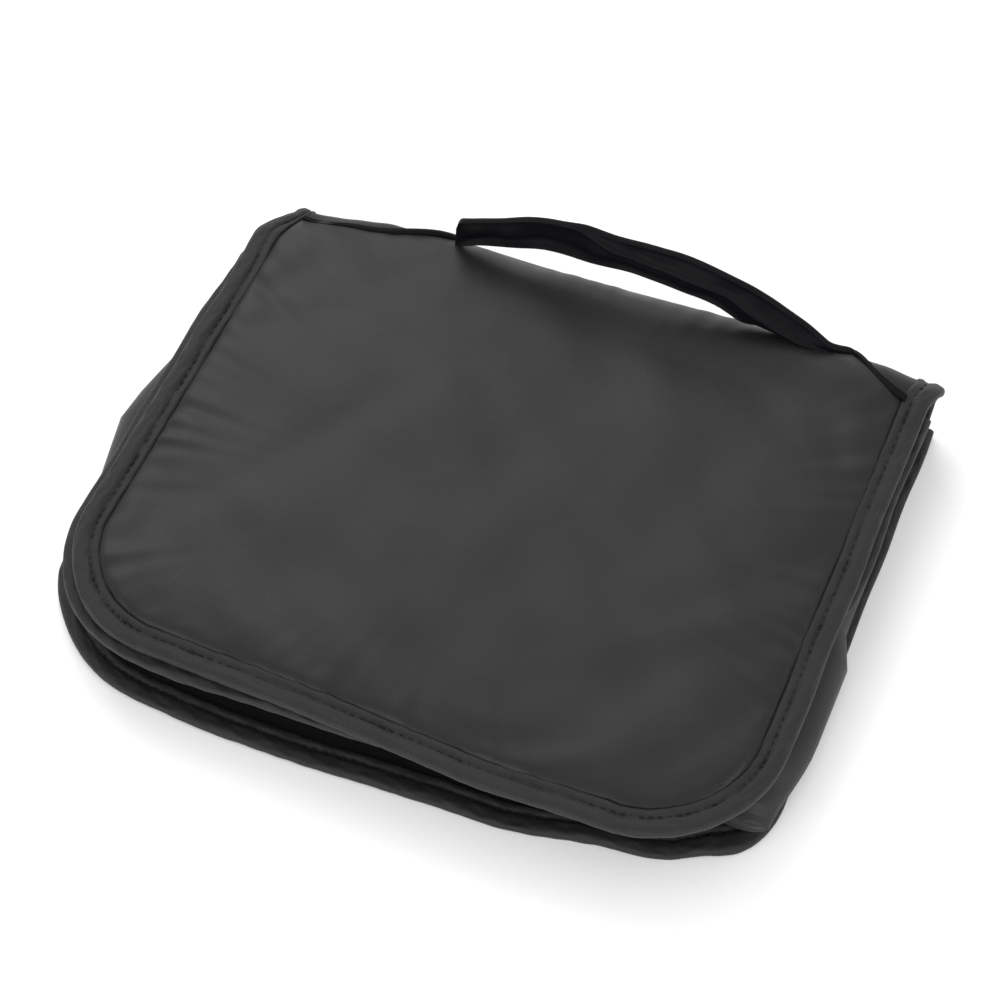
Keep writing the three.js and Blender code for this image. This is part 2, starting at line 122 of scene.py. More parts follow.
def spine_point(run, inset=0.0):
    """A point on the spine's side profile, run mm past the fold, inset from its outside."""
    flat = BEND_Y - FOLD_Y
    arc = SPINE_R * math.pi / 2
    run = np.asarray(run, float)
    angle = np.clip((run - flat) / SPINE_R, 0, math.pi / 2)
    down = np.clip(run - flat - arc, 0, None)
    y = FOLD_Y + np.minimum(run, flat) + (SPINE_R - inset) * np.sin(angle)
    z = TOP - SPINE_R + (SPINE_R - inset) * np.cos(angle) - down
    return y, z, np.sin(angle), np.cos(angle)


def spine_puff(x):
    """How far the spine stands out from its drawn profile: pinched at its left, full at its right."""
    full = 6.0 * smooth((x + 115) / 70) + 3.2 * smooth((x + 30) / 100)
    return full - 5.0 - 1.2 * smooth((x - 95) / 25)


def cover_settle(p):
    """How the flap and the spine lie: an edge that isn't quite straight, and an uneven back."""
    x, y, z = p[..., 0], p[..., 1], p[..., 2]
    front = smooth((-20 - y) / 70)
    y = y + front * (-2.2 * bump_at(x, 42, 34) + 2.0 * bump_at(x, -78, 40))
    lift = 0.5 * waves(x, y * 0.6, 130, 11, 5)
    z = z + lift * smooth((FOLD_Y + 20 - y) / 60)
    angle = np.arctan2(np.maximum(y - BEND_Y, 0), np.maximum(z - TOP + SPINE_R, 1e-6))
    push = spine_puff(x) * smooth((y - 70) / 22) * (0.3 + 0.7 * smooth((z - 3) / 12))
    drawn_in = smooth((y - 69) / 22) * (2.5 * smooth((-x - 88) / 30) + 4.5 * smooth((-x - 106) / 14))
    flare = 2.4 * smooth((y - 84) / 10) * smooth((x - 100) / 20) * smooth((z - 14) / 8)
    tucked = 4.5 * smooth((TOP - SPINE_R - z) / 11) * smooth((y - 80) / 10)
    x = x + drawn_in + flare
    y = y + push * np.sin(angle) - tucked
    z = z + push * np.cos(angle)
    return np.stack([x, y, z], -1)


def trap_settle(p):
    x, y, z = p[..., 0], p[..., 1], p[..., 2]
    ahead = smooth((20 - y) / 80)
    x = x - 2.2 * smooth((62 - y) / 30) * smooth(-x / 90)
    x = x - 4.0 * smooth((8 - y) / 16) * smooth((x - 50) / 60)
    y = y + ahead * (3.4 * smooth((x + 40) / 90) - 1.4 * bump_at(x, -60, 50))
    z = z - 0.6 * ahead * bump_at(x, -20, 60)
    z = z - 3.0 * smooth((y - 70) / 18)
    x = x + 9.0 * smooth((y - 62) / 20) * smooth((-x - 88) / 30)
    return np.stack([x, y, z], -1)


def base_settle(p):
    """The back leaf spreads to the left, and its right front corner runs straight across."""
    x, y, z = p[..., 0], p[..., 1], p[..., 2]
    left = smooth((-x - 20) / 100) * smooth((y + 100) / 35) * smooth((95 - y) / 60)
    corner = smooth((x - 35) / 55) * (1 - 0.8 * smooth((x - 103) / 18)) * smooth((-55 - y) / 30)
    y = y + 8.0 * corner - 2.0 * smooth((y - 82) / 18) - 3.2 * bump_at(x, -46, 40) * smooth(-y / 90)
    return np.stack([x - 5.5 * left - 2.0 * smooth(x / 100), y, np.maximum(z, 0.0)], -1)


def lie_still(p):
    return p


# ---- Meshes -------------------------------------------------------------------------
def mesh_object(name, points, faces, material, uv=None, shade_smooth=True):
    mesh = bpy.data.meshes.new(name)
    mesh.from_pydata((np.asarray(points) * MM).tolist(), [], faces)
    mesh.validate()
    if uv is not None:
        layer = mesh.uv_layers.new(name="along")
        loops = np.zeros(len(mesh.loops), np.int32)
        mesh.loops.foreach_get("vertex_index", loops)
        layer.data.foreach_set("uv", np.asarray(uv, np.float32)[loops].ravel())
    if shade_smooth:
        mesh.polygons.foreach_set("use_smooth", [True] * len(mesh.polygons))
    mesh.materials.append(material)
    made = bpy.data.objects.new(name, mesh)
    bpy.context.scene.collection.objects.link(made)
    return made


def quads(rows, cols, closed_rows=False, closed_cols=False, flip=False, start=0):
    i = np.arange(rows if closed_rows else rows - 1)
    j = np.arange(cols if closed_cols else cols - 1)
    i, j = (a.ravel() for a in np.meshgrid(i, j, indexing="ij"))
    i2, j2 = (i + 1) % rows, (j + 1) % cols
    loop = [i * cols + j, i2 * cols + j, i2 * cols + j2, i * cols + j2]
    if flip:
        loop.reverse()
    return (np.stack(loop, 1) + start).tolist()


def outward(made):
    """Turns every face out."""
    bm = bmesh.new()
    bm.from_mesh(made.data)
    bmesh.ops.recalc_face_normals(bm, faces=bm.faces)
    bm.to_mesh(made.data)
    bm.free()
    return made


def swept(name, rings, material, lengths, path_closed=False):
    """A solid through closed rings, an array of rings x points x 3."""
    n, m = rings.shape[:2]
    faces = quads(n, m, closed_rows=path_closed, closed_cols=True)
    if not path_closed:
        faces.append(list(range(m))[::-1])
        faces.append([(n - 1) * m + k for k in range(m)])
    across = np.broadcast_to(np.linspace(0, 1, m), (n, m))
    along = np.broadcast_to(np.asarray(lengths)[:, None], (n, m))
    uv = np.stack([along, across], -1).reshape(-1, 2)
    return outward(mesh_object(name, rings.reshape(-1, 3), faces, material, uv))


def thin_sheet(name, top, under, material):
    """A closed sheet between two grids of the same size."""
    n, m = top.shape[:2]
    points = np.concatenate([top.reshape(-1, 3), under.reshape(-1, 3)])
    faces = quads(n, m) + quads(n, m, flip=True, start=n * m)
    rim = (
        [i * m for i in range(n)]
        + [(n - 1) * m + j for j in range(1, m)]
        + [i * m + m - 1 for i in range(n - 2, -1, -1)]
        + [j for j in range(m - 2, 0, -1)]
    )
    for a, b in zip(rim, rim[1:] + rim[:1]):
        faces.append([b, a, a + n * m, b + n * m])
    sheet = outward(mesh_object(name, points, faces, material))
    sheet.data.set_sharp_from_angle(angle=RIM_ANGLE)
    return sheet


def grid_normals(grid):
    du = np.gradient(grid, axis=0)
    dv = np.gradient(grid, axis=1)
    n = np.cross(dv, du)
    n /= np.linalg.norm(n, axis=-1, keepdims=True) + 1e-9
    if n[..., 2].mean() < 0:
        n = -n
    return n


# ---- Outlines -----------------------------------------------------------------------
def leaf_edge(half, front, back, radius, step=1.5):
    """The sides and front of a leaf, from its left rear round to its right rear.

    Returns points, outward directions and the length run so far.
    """
    def straight(a, b):
        return np.linspace(a, b, max(2, int(np.hypot(*np.subtract(b, a)) / step)))

    turn = np.linspace(0, math.pi / 2, int(radius * math.pi / 2 / step))
    left = straight((-half, back), (-half, front + radius))
    first = np.stack([-half + radius - radius * np.cos(turn), front + radius - radius * np.sin(turn)], 1)
    low = straight((-half + radius, front), (half - radius, front))
    second = np.stack([half - radius + radius * np.sin(turn), front + radius - radius * np.cos(turn)], 1)
    right = straight((half, front + radius), (half, back))
    line = np.concatenate([left, first[1:], low[1:], second[1:], right[1:]])
    d = np.gradient(line, axis=0)
    out = np.stack([d[:, 1], -d[:, 0]], 1)
    out /= np.linalg.norm(out, axis=1, keepdims=True)
    run = np.concatenate([[0], np.cumsum(np.linalg.norm(np.diff(line, axis=0), axis=1))])
    return line, out, run


def leaf_rows(half, front, back, radius, rows, cols, crowd=1.6):
    """A grid that fills a leaf, with rows from front to back that end on its outline."""
    v = np.linspace(0, 1, rows) ** crowd
    y = front + v * (back - front)
    reach = np.clip(front + radius - y, 0, radius)
    width = half - radius + np.sqrt(np.maximum(radius**2 - reach**2, 0))
    u = np.sin(np.linspace(-1, 1, cols) * math.pi / 2 * 0.92) / math.sin(math.pi / 2 * 0.92)
    return np.stack([width[:, None] * u[None, :], np.broadcast_to(y[:, None], (rows, cols))], -1)


def rim_distance(xy, half, front, back_free, radius):
    """How far a point is inside a leaf's sides and front. The back counts if back_free is given."""
    x, y = np.abs(xy[..., 0]), xy[..., 1]
    side = half - x
    low = y - front
    cx, cy = half - radius, front + radius
    in_corner = (x > cx) & (y < cy)
    corner = radius - np.hypot(x - cx, y - cy)
    d = np.where(in_corner, corner, np.minimum(side, low))
    if back_free is not None:
        d = np.minimum(d, back_free - y)
    return d


# ---- Materials ----------------------------------------------------------------------
def principled(name, roughness, sheen=0.0, specular=0.5, metallic=0.0):
    material = bpy.data.materials.new(name)
    material.use_nodes = True
    tree = material.node_tree
    shader = tree.nodes["Principled BSDF"]
    shader.inputs["Roughness"].default_value = roughness
    shader.inputs["Specular IOR Level"].default_value = specular
    shader.inputs["Metallic"].default_value = metallic
    shader.inputs["Sheen Weight"].default_value = sheen
    shader.inputs["Sheen Roughness"].default_value = 0.5
    return material, tree, shader


def node(tree, kind, **settings):
    made = tree.nodes.new(kind)
    for key, value in settings.items():
        if key in made.inputs:
            made.inputs[key].default_value = value
        else:
            setattr(made, key, value)
    return made


def rotated_coords(tree, turn=(0.0, 0.0, 0.0)):
    coords = node(tree, "ShaderNodeTexCoord")
    mapping = node(tree, "ShaderNodeMapping")
    mapping.inputs["Rotation"].default_value = turn
    tree.links.new(coords.outputs["Object"], mapping.inputs["Vector"])
    return mapping.outputs["Vector"]


def noise(tree, scale, detail, **settings):
    """A noise texture in the piece's own coordinates."""
    made = node(tree, "ShaderNodeTexNoise", Scale=scale, Detail=detail, **settings)
    tree.links.new(rotated_coords(tree), made.inputs["Vector"])
    return made


def wave_scale(pitch):
    """The scale at which a wave texture's bands lie this many mm apart."""
    return 2 * math.pi / (20 * pitch * MM)


def mixed_color(tree, factor, dark, light):
    mix = node(tree, "ShaderNodeMix", data_type="RGBA")
    mix.inputs["A"].default_value = (*dark, 1)
    mix.inputs["B"].default_value = (*light, 1)
    tree.links.new(factor, mix.inputs["Factor"])
    return mix.outputs["Result"]


def bumped(tree, shader, layers):
    """Chains bump nodes: each layer is a height socket, a strength and a depth in mm."""
    normal = None
    for height, strength, depth in layers:
        bump = node(tree, "ShaderNodeBump", Strength=strength, Distance=depth * MM)
        tree.links.new(height, bump.inputs["Height"])
        if normal is not None:
            tree.links.new(normal, bump.inputs["Normal"])
        normal = bump.outputs["Normal"]
    tree.links.new(normal, shader.inputs["Normal"])


def varied_roughness(tree, shader, factor, low, high):
    spread = node(tree, "ShaderNodeMapRange")
    spread.inputs["To Min"].default_value = low
    spread.inputs["To Max"].default_value = high
    tree.links.new(factor, spread.inputs["Value"])
    tree.links.new(spread.outputs["Result"], shader.inputs["Roughness"])


def twill(name, dark, light, pitch, rough, sheen, relief=0.05, crumple=0.25, specular=0.22):
    """Woven nylon: fine slanting ribs, faint cloudiness and soft creases."""
    material, tree, shader = principled(name, sum(rough) / 2, sheen=sheen, specular=specular)
    rib_coords = rotated_coords(tree, (0.5, 0.35, math.radians(52)))
    ribs = node(tree, "ShaderNodeTexWave", Scale=wave_scale(pitch), Distortion=0.6)
    ribs.inputs["Detail"].default_value = 1.0
    tree.links.new(rib_coords, ribs.inputs["Vector"])
    cross_coords = rotated_coords(tree, (0.3, 0.5, math.radians(-38)))
    cross = node(tree, "ShaderNodeTexWave", Scale=wave_scale(1.7 * pitch), Distortion=0.4)
    tree.links.new(cross_coords, cross.inputs["Vector"])
    cloud = noise(tree, 38.0, 4.0, Roughness=0.55)
    crease = noise(tree, 95.0, 3.0, Roughness=0.5, Distortion=0.8)
    color = mixed_color(tree, cloud.outputs["Fac"], dark, light)
    shade = node(tree, "ShaderNodeMix", data_type="RGBA", blend_type="MULTIPLY")
    shade.inputs["Factor"].default_value = 0.35
    tree.links.new(color, shade.inputs["A"])
    tree.links.new(ribs.outputs["Color"], shade.inputs["B"])
    tree.links.new(shade.outputs["Result"], shader.inputs["Base Color"])
    varied_roughness(tree, shader, cloud.outputs["Fac"], *rough)
    bumped(tree, shader, [
        (crease.outputs["Fac"], crumple, 0.6),
        (ribs.outputs["Fac"], 0.5, relief),
        (cross.outputs["Fac"], 0.35, relief),
    ])
    return material


def ribbed_tape(name, dark, light, pitch, rough, sheen=0.2, relief=0.1):
    """Binding tape: ribs across it, from the length run along the piece."""
    material, tree, shader = principled(name, sum(rough) / 2, sheen=sheen, specular=0.25)
    along = node(tree, "ShaderNodeUVMap", uv_map="along")
    split = node(tree, "ShaderNodeSeparateXYZ")
    tree.links.new(along.outputs["UV"], split.inputs["Vector"])
    turns = node(tree, "ShaderNodeMath", operation="MULTIPLY")
    turns.inputs[1].default_value = 2 * math.pi / pitch
    tree.links.new(split.outputs["X"], turns.inputs[0])
    wobble = noise(tree, 900.0, 2.0)
    phase = node(tree, "ShaderNodeMath", operation="MULTIPLY_ADD")
    phase.inputs[1].default_value = 1.6
    tree.links.new(wobble.outputs["Fac"], phase.inputs[0])
    tree.links.new(turns.outputs[0], phase.inputs[2])
    ribs = node(tree, "ShaderNodeMath", operation="SINE")
    tree.links.new(phase.outputs[0], ribs.inputs[0])
    cloud = noise(tree, 70.0, 5.0, Roughness=0.6)
    tree.links.new(mixed_color(tree, cloud.outputs["Fac"], dark, light), shader.inputs["Base Color"])
    varied_roughness(tree, shader, cloud.outputs["Fac"], *rough)
    bumped(tree, shader, [(cloud.outputs["Fac"], 0.4, 0.4), (ribs.outputs[0], 0.6, relief)])
    return material


def fuzzy(name, color, scale, rough, depth):
    material, tree, shader = principled(name, rough, sheen=0.5)
    grain = noise(tree, scale, 6.0, Roughness=0.8)
    light = tuple(c * 1.9 for c in color)
    tree.links.new(mixed_color(tree, grain.outputs["Fac"], color, light), shader.inputs["Base Color"])
    bumped(tree, shader, [(grain.outputs["Fac"], 1.0, depth)])
    return material


def worn_metal(name, color, rough):
    material, tree, shader = principled(name, sum(rough) / 2, metallic=0.85)
    cloud = noise(tree, 260.0, 5.0)
    light = tuple(c * 1.7 for c in color)
    tree.links.new(mixed_color(tree, cloud.outputs["Fac"], color, light), shader.inputs["Base Color"])
    varied_roughness(tree, shader, cloud.outputs["Fac"], *rough)
    bumped(tree, shader, [(cloud.outputs["Fac"], 0.3, 0.05)])
    return material


NYLON = twill(
    "nylon_twill", (0.0085, 0.0083, 0.0088), (0.0120, 0.0117, 0.0124), 0.55, (0.42, 0.56), 0.04,
)
# A darker, rougher copy of the flap's nylon: painted shade for the cloth of the spine and of the back
# panel, which lie turned away from the light.
NYLON_PAINTED_SHADE = twill(
    "nylon_twill_painted_shade", (0.006, 0.0058, 0.006), (0.009, 0.0088, 0.009), 0.55, (0.5, 0.62), 0.03,
)
LINING = twill(
    "coated_lining", (0.004, 0.004, 0.0042), (0.006, 0.006, 0.0064), 0.8, (0.5, 0.65), 0.02,
    relief=0.03,
)
BINDING = ribbed_tape(
    "binding_tape", (0.008, 0.0077, 0.008), (0.012, 0.0117, 0.012), 0.85, (0.52, 0.66), sheen=0.04,
)
# The strap's near-black cloth with little gloss: its own dark colour, deepened with painted shade for
# the handle's shadowed face and for the dark shadow lines along its tails.
STRAP_PAINTED_SHADE = twill(
    "strap_cloth_painted_shade", (0.0014, 0.0014, 0.002), (0.003, 0.003, 0.0044), 0.4, (0.52, 0.68), 0.0,
    relief=0.03, crumple=0.8, specular=0.1,
)
THREAD = ribbed_tape(
    "thread", (0.002, 0.002, 0.002), (0.004, 0.004, 0.004), 0.35, (0.5, 0.6), sheen=0.0, relief=0.05,
)
ELASTIC = ribbed_tape("elastic_band", (0.006, 0.006, 0.0065), (0.010, 0.010, 0.011), 1.2, (0.6, 0.8))
FUZZ = fuzzy("hook_and_loop", (0.004, 0.004, 0.004), 1400.0, 0.95, 0.5)
COIL = ribbed_tape("zip_coil", (0.006, 0.006, 0.006), (0.010, 0.010, 0.010), 1.3, (0.3, 0.4), relief=0.3)
METAL = worn_metal("zip_metal", (0.03, 0.03, 0.032), (0.28, 0.45))


# ---- Bindings -----------------------------------------------------------------------
def tape_profile(thick):
    """The closed section of a folded tape: how far out (0 at the edge) and up (0 mid leaf).

    Returns the points and, for each, how much it's pulled in at a stitch.
    """
    half = thick / 2
    roll = STITCH_IN / 2
    edge = -TAPE_WIDTH
    turn = np.linspace(math.pi, 0, 15)
    round_over = [
        (-roll + roll * np.sign(math.cos(a)) * abs(math.cos(a)) ** 0.85,
         half * abs(math.sin(a)) ** 0.72)
        for a in turn
    ]
    dip = 0.56 * half
    flat = [
        (edge, 0.45 * half), (edge + 0.15, 0.72 * half), (edge + 0.7, 0.86 * half),
        (edge + 1.6, 0.88 * half), (edge + 2.3, 0.78 * half), (-STITCH_IN, dip),
    ]
    upper = flat + [(a, max(b, dip if a < -roll else 0)) for a, b in round_over[1:]]
    pull = np.array([math.exp(-(((a + STITCH_IN) / 0.9) ** 2)) for a, _ in upper])
    lower = [(a, -b) for a, b in upper[-2::-1]]
    shell = upper + lower
    inner = [
        (min(a, -TAPE * 1.2), np.sign(b) * max(abs(b) - TAPE, 0.12))
        for a, b in shell[::-1]
    ]
    pulls = np.concatenate([pull, pull[-2::-1]])
    return np.array(shell + inner), np.concatenate([pulls, pulls[::-1]])


def tape_along(name, path, settle, seed, thick=LEAF):
    """A binding along a path: its line, outward and upward directions, and lengths run."""
    line, out, up, run = path
    profile, pull = tape_profile(thick)
    a = np.broadcast_to(profile[:, 0], (len(run), len(profile))).copy()
    b = np.broadcast_to(profile[:, 1], a.shape).copy()
    along = run[:, None]
    tug = 0.5 + 0.5 * np.cos(2 * math.pi * along / STITCH_PITCH)
    b -= np.sign(b) * pull * 0.22 * tug
    pucker = waves(along, a * 2.5, 7, seed, 8) * 0.17 + waves(along, a, 24, seed + 1, 8) * 0.14
    b += pucker * (np.abs(b) > 0.3)
    a = a + 0.35 * waves(along, 0 * a, 46, seed + 2, 6)
    rings = line[:, None] + a[..., None] * out[:, None] + b[..., None] * up[:, None]
    return swept(name, settle(rings), BINDING, run)


def stitches_along(name, path, side, settle, height):
    """A row of thread stitches, each a short closed bead that dips into the cloth at its ends."""
    line, out, up, run = path
    centres = np.arange(run[0] + 2.5, run[-1] - 2, STITCH_PITCH)
    beads = 7
    around = 6
    even = np.linspace(-1, 1, beads)
    bow = 1 - even**2
    radius = THREAD_THICK / 2 * (0.45 + 0.55 * bow)
    turn = np.linspace(0, 2 * math.pi, around, endpoint=False)
    sideways = -STITCH_IN + 0.12 * even[:, None] + radius[:, None] * np.cos(turn)
    upwards = height - 0.35 + 0.42 * bow[:, None] + radius[:, None] * np.sin(turn)
    points, faces, lengths = [], [], []
    for index, centre in enumerate(centres):
        s = centre + even / 2 * STITCH_LENGTH
        place, o, u = (
            np.stack([np.interp(s, run, values[:, k]) for k in range(3)], 1)
            for values in (line, out, up * side)
        )
        ring = place[:, None] + sideways[..., None] * o[:, None] + upwards[..., None] * u[:, None]
        start = index * beads * around
        points.append(ring.reshape(-1, 3))
        faces += quads(beads, around, closed_cols=True, start=start)
        faces.append([start + k for k in range(around)][::-1])
        faces.append([start + (beads - 1) * around + k for k in range(around)])
        lengths.append(np.repeat(s, around))
    points = np.concatenate(points)
    lengths = np.concatenate(lengths)
    uv = np.stack([lengths, 0 * lengths], 1)
    return outward(mesh_object(name, settle(points), faces, THREAD, uv))


def stitches_on_both_faces(name, path, settle, thick, attach):
    for face, side in (("top", 1), ("under", -1)):
        thread = stitches_along(f"{name}_{face}", path, side, settle, 0.55 * thick / 2)
        attach(thread)


def flat_path(low, high, back=None):
    """A leaf's edge at its mid height, as a path for a tape."""
    line, out, run = leaf_edge(high[0], low[1], high[1] if back is None else back, CORNER_R)
    z = (low[2] + high[2]) / 2
    n = len(run)
    line = np.concatenate([line, np.full((n, 1), z)], 1)
    out = np.concatenate([out, np.zeros((n, 1))], 1)
    up = np.broadcast_to([0.0, 0.0, 1.0], (n, 3)).copy()
    return line, out, up, run


def cover_path():
    """The flap's edge, continued up both ends of the spine: from left foot to right foot."""
    line, out, up, _ = flat_path(FLAP_LOW, FLAP_HIGH, back=FOLD_Y)
    run = np.linspace(0, SPINE_RUN - SPINE_LOW[2], 46)[1:]
    y, z, ny, nz = spine_point(run, LEAF / 2)
    zero = 0 * run
    right = np.stack([zero + HALF, y, z], 1)
    right_up = np.stack([zero, ny, nz], 1)
    side = np.stack([zero + 1, zero, zero], 1)
    left = right[::-1] * [-1, 1, 1]
    line = np.concatenate([left, line, right])
    out = np.concatenate([-side, out, side])
    up = np.concatenate([right_up[::-1], up, right_up])
    run = np.concatenate([[0], np.cumsum(np.linalg.norm(np.diff(line, axis=0), axis=1))])
    return line, out, up, run


def across_fold(piece):
    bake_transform(piece)


def cover_bindings():
    path = cover_path()
    tape = tape_along("cover_binding", path, cover_settle, 5)
    across_fold(tape)
    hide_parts("flap_binding", "spine_binding_left", "spine_binding_right")
    stitches_on_both_faces("cover_stitches", path, cover_settle, LEAF, across_fold)

TRAP_BACK = 87.0  # the inner leaf's cloth runs back this far under the spine


def ride_leaf(piece, body):
    if body == "trap":
        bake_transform(piece)
    else:
        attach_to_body(piece, body)


def leaf_binding(name, node_name, low, high, body, settle, seed, thick, back=None):
    """The tape and the stitches round a flat leaf."""
    path = flat_path(low, high, back)
    tape = tape_along(name, path, settle, seed, thick)
    ride_leaf(tape, body)
    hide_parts(node_name)
    stitches_on_both_faces(f"{name}_stitches", path, settle, thick, lambda piece: ride_leaf(piece, body))


# ---- Cover cloth --------------------------------------------------------------------


def seam_y(x):
    """Where the seam along the spine runs: it bows back over the edge between the handle's ends."""
    left = 85.0 + 12.6 * smooth((x + 112) / 70) ** 1.5
    right = 84.5 + 13.1 * smooth((114 - x) / 34)
    return np.minimum(left, right)


def spine_run_at(y):
    """How far past the fold the spine's surface reaches a given Y, up to its rearmost line."""
    flat = BEND_Y - FOLD_Y
    over = np.clip((y - BEND_Y) / SPINE_R, 0, 0.999)
    return np.where(y <= BEND_Y, y - FOLD_Y, flat + SPINE_R * np.arcsin(over))


def top_surface(xy):
    """The outer surface of the cover at a point seen from above, without padding."""
    _, z, _, _ = spine_point(np.maximum(spine_run_at(xy[..., 1]), 0))
    flat = xy[..., 1] < FOLD_Y
    z = np.where(flat, TOP, z)
    return np.stack([xy[..., 0], xy[..., 1], z], -1)


def puckers(x, y, inside, seed):
    """Short gathers that run in from a sewn edge and die away."""
    around = np.arctan2(y + 10, x * 0.8) * 110
    gather = waves(around, 0 * x, 7.5, seed, 9) * 0.7 + waves(around, 0 * x, 15, seed + 1, 9) * 0.8
    reach = 9 + 6 * waves(around, 0 * x, 31, seed + 2, 6)
    fade = np.exp(-np.clip(inside, 0, None) / np.clip(reach, 4, 22))
    return gather * fade * smooth(inside / 2.5)


def flap_relief(x, y, inside):
    """The broad soft wrinkles of the flap."""
    z = 0.55 * waves(x, y * 1.3, 62, 21, 9)
    z += 0.30 * waves(x + 0.4 * y, y, 30, 31, 9)
    z += 0.9 * bump_at(x + 0.55 * y, -52, 16) * bump_at(y, 8, 34)
    z -= 0.8 * bump_at(x - 0.7 * y, -60, 9) * bump_at(x, -70, 40)
    z += 0.8 * bump_at(y + 0.35 * x, 14, 10) * bump_at(x, 30, 30)
    z -= 0.7 * bump_at(y + 0.3 * x, -6, 7) * bump_at(x, 42, 26)
    z += 0.7 * bump_at(y - 0.25 * x, -52, 12) * bump_at(x, 20, 60)
    return 0.65 * z * smooth(inside / 14)


def sewn_cloth_bulge(inside, height):
    """A rim that rises steeply from the crease beside the tape, then eases to a low crown."""
    return height * (0.78 * (1 - np.exp(-np.clip(inside, 0, None) / 1.5))
                     + 0.22 * smooth(inside / 60))


def softened(values, passes):
    """Evens out the steps between neighbouring points of a grid."""
    for _ in range(passes):
        for axis in (0, 1):
            before = np.roll(values, 1, axis)
            after = np.roll(values, -1, axis)
            mixed = 0.5 * values + 0.25 * (before + after)
            edge = [slice(None), slice(None)]
            edge[axis] = slice(1, -1)
            values = values.copy()
            values[tuple(edge)] = mixed[tuple(edge)]
    return values


SIMULATED_FRAMES = 30
MOST_LIFT = 6.0
LIFT_SHARE = 0.42  # the share of the simulated lift that the cloth is given
SUNK = 1.7  # how far the cloth's edge lies below the top of the tape


def simulated_lift(xy, inside):
    """Inflates a slack sheet that is held at its edges, and returns how far each point rose."""
    rows, cols = xy.shape[:2]
    step = 2
    coarse = xy[::step, ::step]
    points = np.concatenate([coarse, np.zeros(coarse.shape[:2] + (1,))], -1)
    n, m = points.shape[:2]
    sheet = mesh_object("slack_sheet", points.reshape(-1, 3), quads(n, m), NYLON)
    held = sheet.vertex_groups.new(name="held")
    near = inside[::step, ::step].ravel() < 1.2
    near |= (np.arange(n * m) // m == n - 1)
    held.add([int(i) for i in np.nonzero(near)[0]], 1.0, "REPLACE")
    cloth = sheet.modifiers.new("cloth", "CLOTH")
    settings = cloth.settings
    settings.quality = 6
    settings.mass = 0.2
    settings.tension_stiffness = 12
    settings.compression_stiffness = 12
    settings.shear_stiffness = 6
    settings.bending_stiffness = 0.15
    settings.air_damping = 4
    settings.vertex_group_mass = "held"
    settings.shrink_min = -0.012
    settings.use_pressure = True
    settings.uniform_pressure_force = 1.2
    settings.effector_weights.gravity = 0
    cloth.collision_settings.use_collision = False
    cloth.point_cache.frame_end = SIMULATED_FRAMES
    scene = bpy.context.scene
    for step_frame in range(1, SIMULATED_FRAMES + 1):
        scene.frame_set(step_frame)
    evaluated = sheet.evaluated_get(bpy.context.evaluated_depsgraph_get())
    co = np.zeros(n * m * 3)
    evaluated.data.vertices.foreach_get("co", co)
    lift = softened(co.reshape(n, m, 3)[..., 2] / MM, 3)
    if lift.mean() < 0:
        lift = -lift
    bpy.data.objects.remove(sheet)
    scene.frame_set(1)
    iu = np.linspace(0, n - 1, rows)
    iv = np.linspace(0, m - 1, cols)
    half_way = np.stack([np.interp(iv, np.arange(m), row) for row in lift])
    full = np.stack([np.interp(iu, np.arange(n), half_way[:, j]) for j in range(cols)], 1)
    return full


def seam_depth(x):
    """How far the cloth lies below the binding's top, along the seam."""
    return SUNK - 1.2 * smooth((CLOTH_HALF - np.abs(x)) / 12)


def cover_cloth():
    """The padded flap and the top of the spine in one piece of cloth, up to the handle's seam."""
    half = CLOTH_HALF
    front = FRONT + INNER
    behind = 100.0  # the rows are laid out to this line, then drawn up to the seam
    grid = leaf_rows(half, front, behind, CORNER_R - INNER, 171, 181, crowd=1.15)
    v = (grid[..., 1] - front) / (behind - front)
    grid[..., 1] = front + v * (seam_y(grid[..., 0]) - front)
    inside = rim_distance(grid, half, front, None, CORNER_R - INNER)
    to_seam = seam_y(grid[..., 0]) - grid[..., 1]
    x, y = grid[..., 0], grid[..., 1]
    surface = top_surface(grid)
    crown = sewn_cloth_bulge(inside, 3.6) * (0.45 + 0.55 * smooth(to_seam / 40))
    lift = np.clip(simulated_lift(grid, np.minimum(inside, to_seam)), -1, MOST_LIFT)
    crown = crown + LIFT_SHARE * (softened(lift, 4) - 0.6 * np.max(lift) * smooth(inside / 60))
    crown += flap_relief(x, y, np.minimum(inside, to_seam))
    sides = 0.5 + 0.5 * smooth((np.abs(x) - 60) / 40)
    crown += 0.55 * sides * puckers(x, y, inside, 41)
    crown += 0.35 * puckers(x * 1.2, y, to_seam, 47) * smooth(inside / 6)
    normal = grid_normals(surface)
    sunk = SUNK + (seam_depth(x) - SUNK) * np.exp(-np.maximum(to_seam, 0) / 14)
    top = surface + normal * (crown - sunk)[..., None]
    under = surface - normal * 2.4
    cloth = thin_sheet("cover_cloth", cover_settle(top), cover_settle(under), NYLON)
    across_fold(cloth)
    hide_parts("flap_panel", "flap_foam")
    return cloth


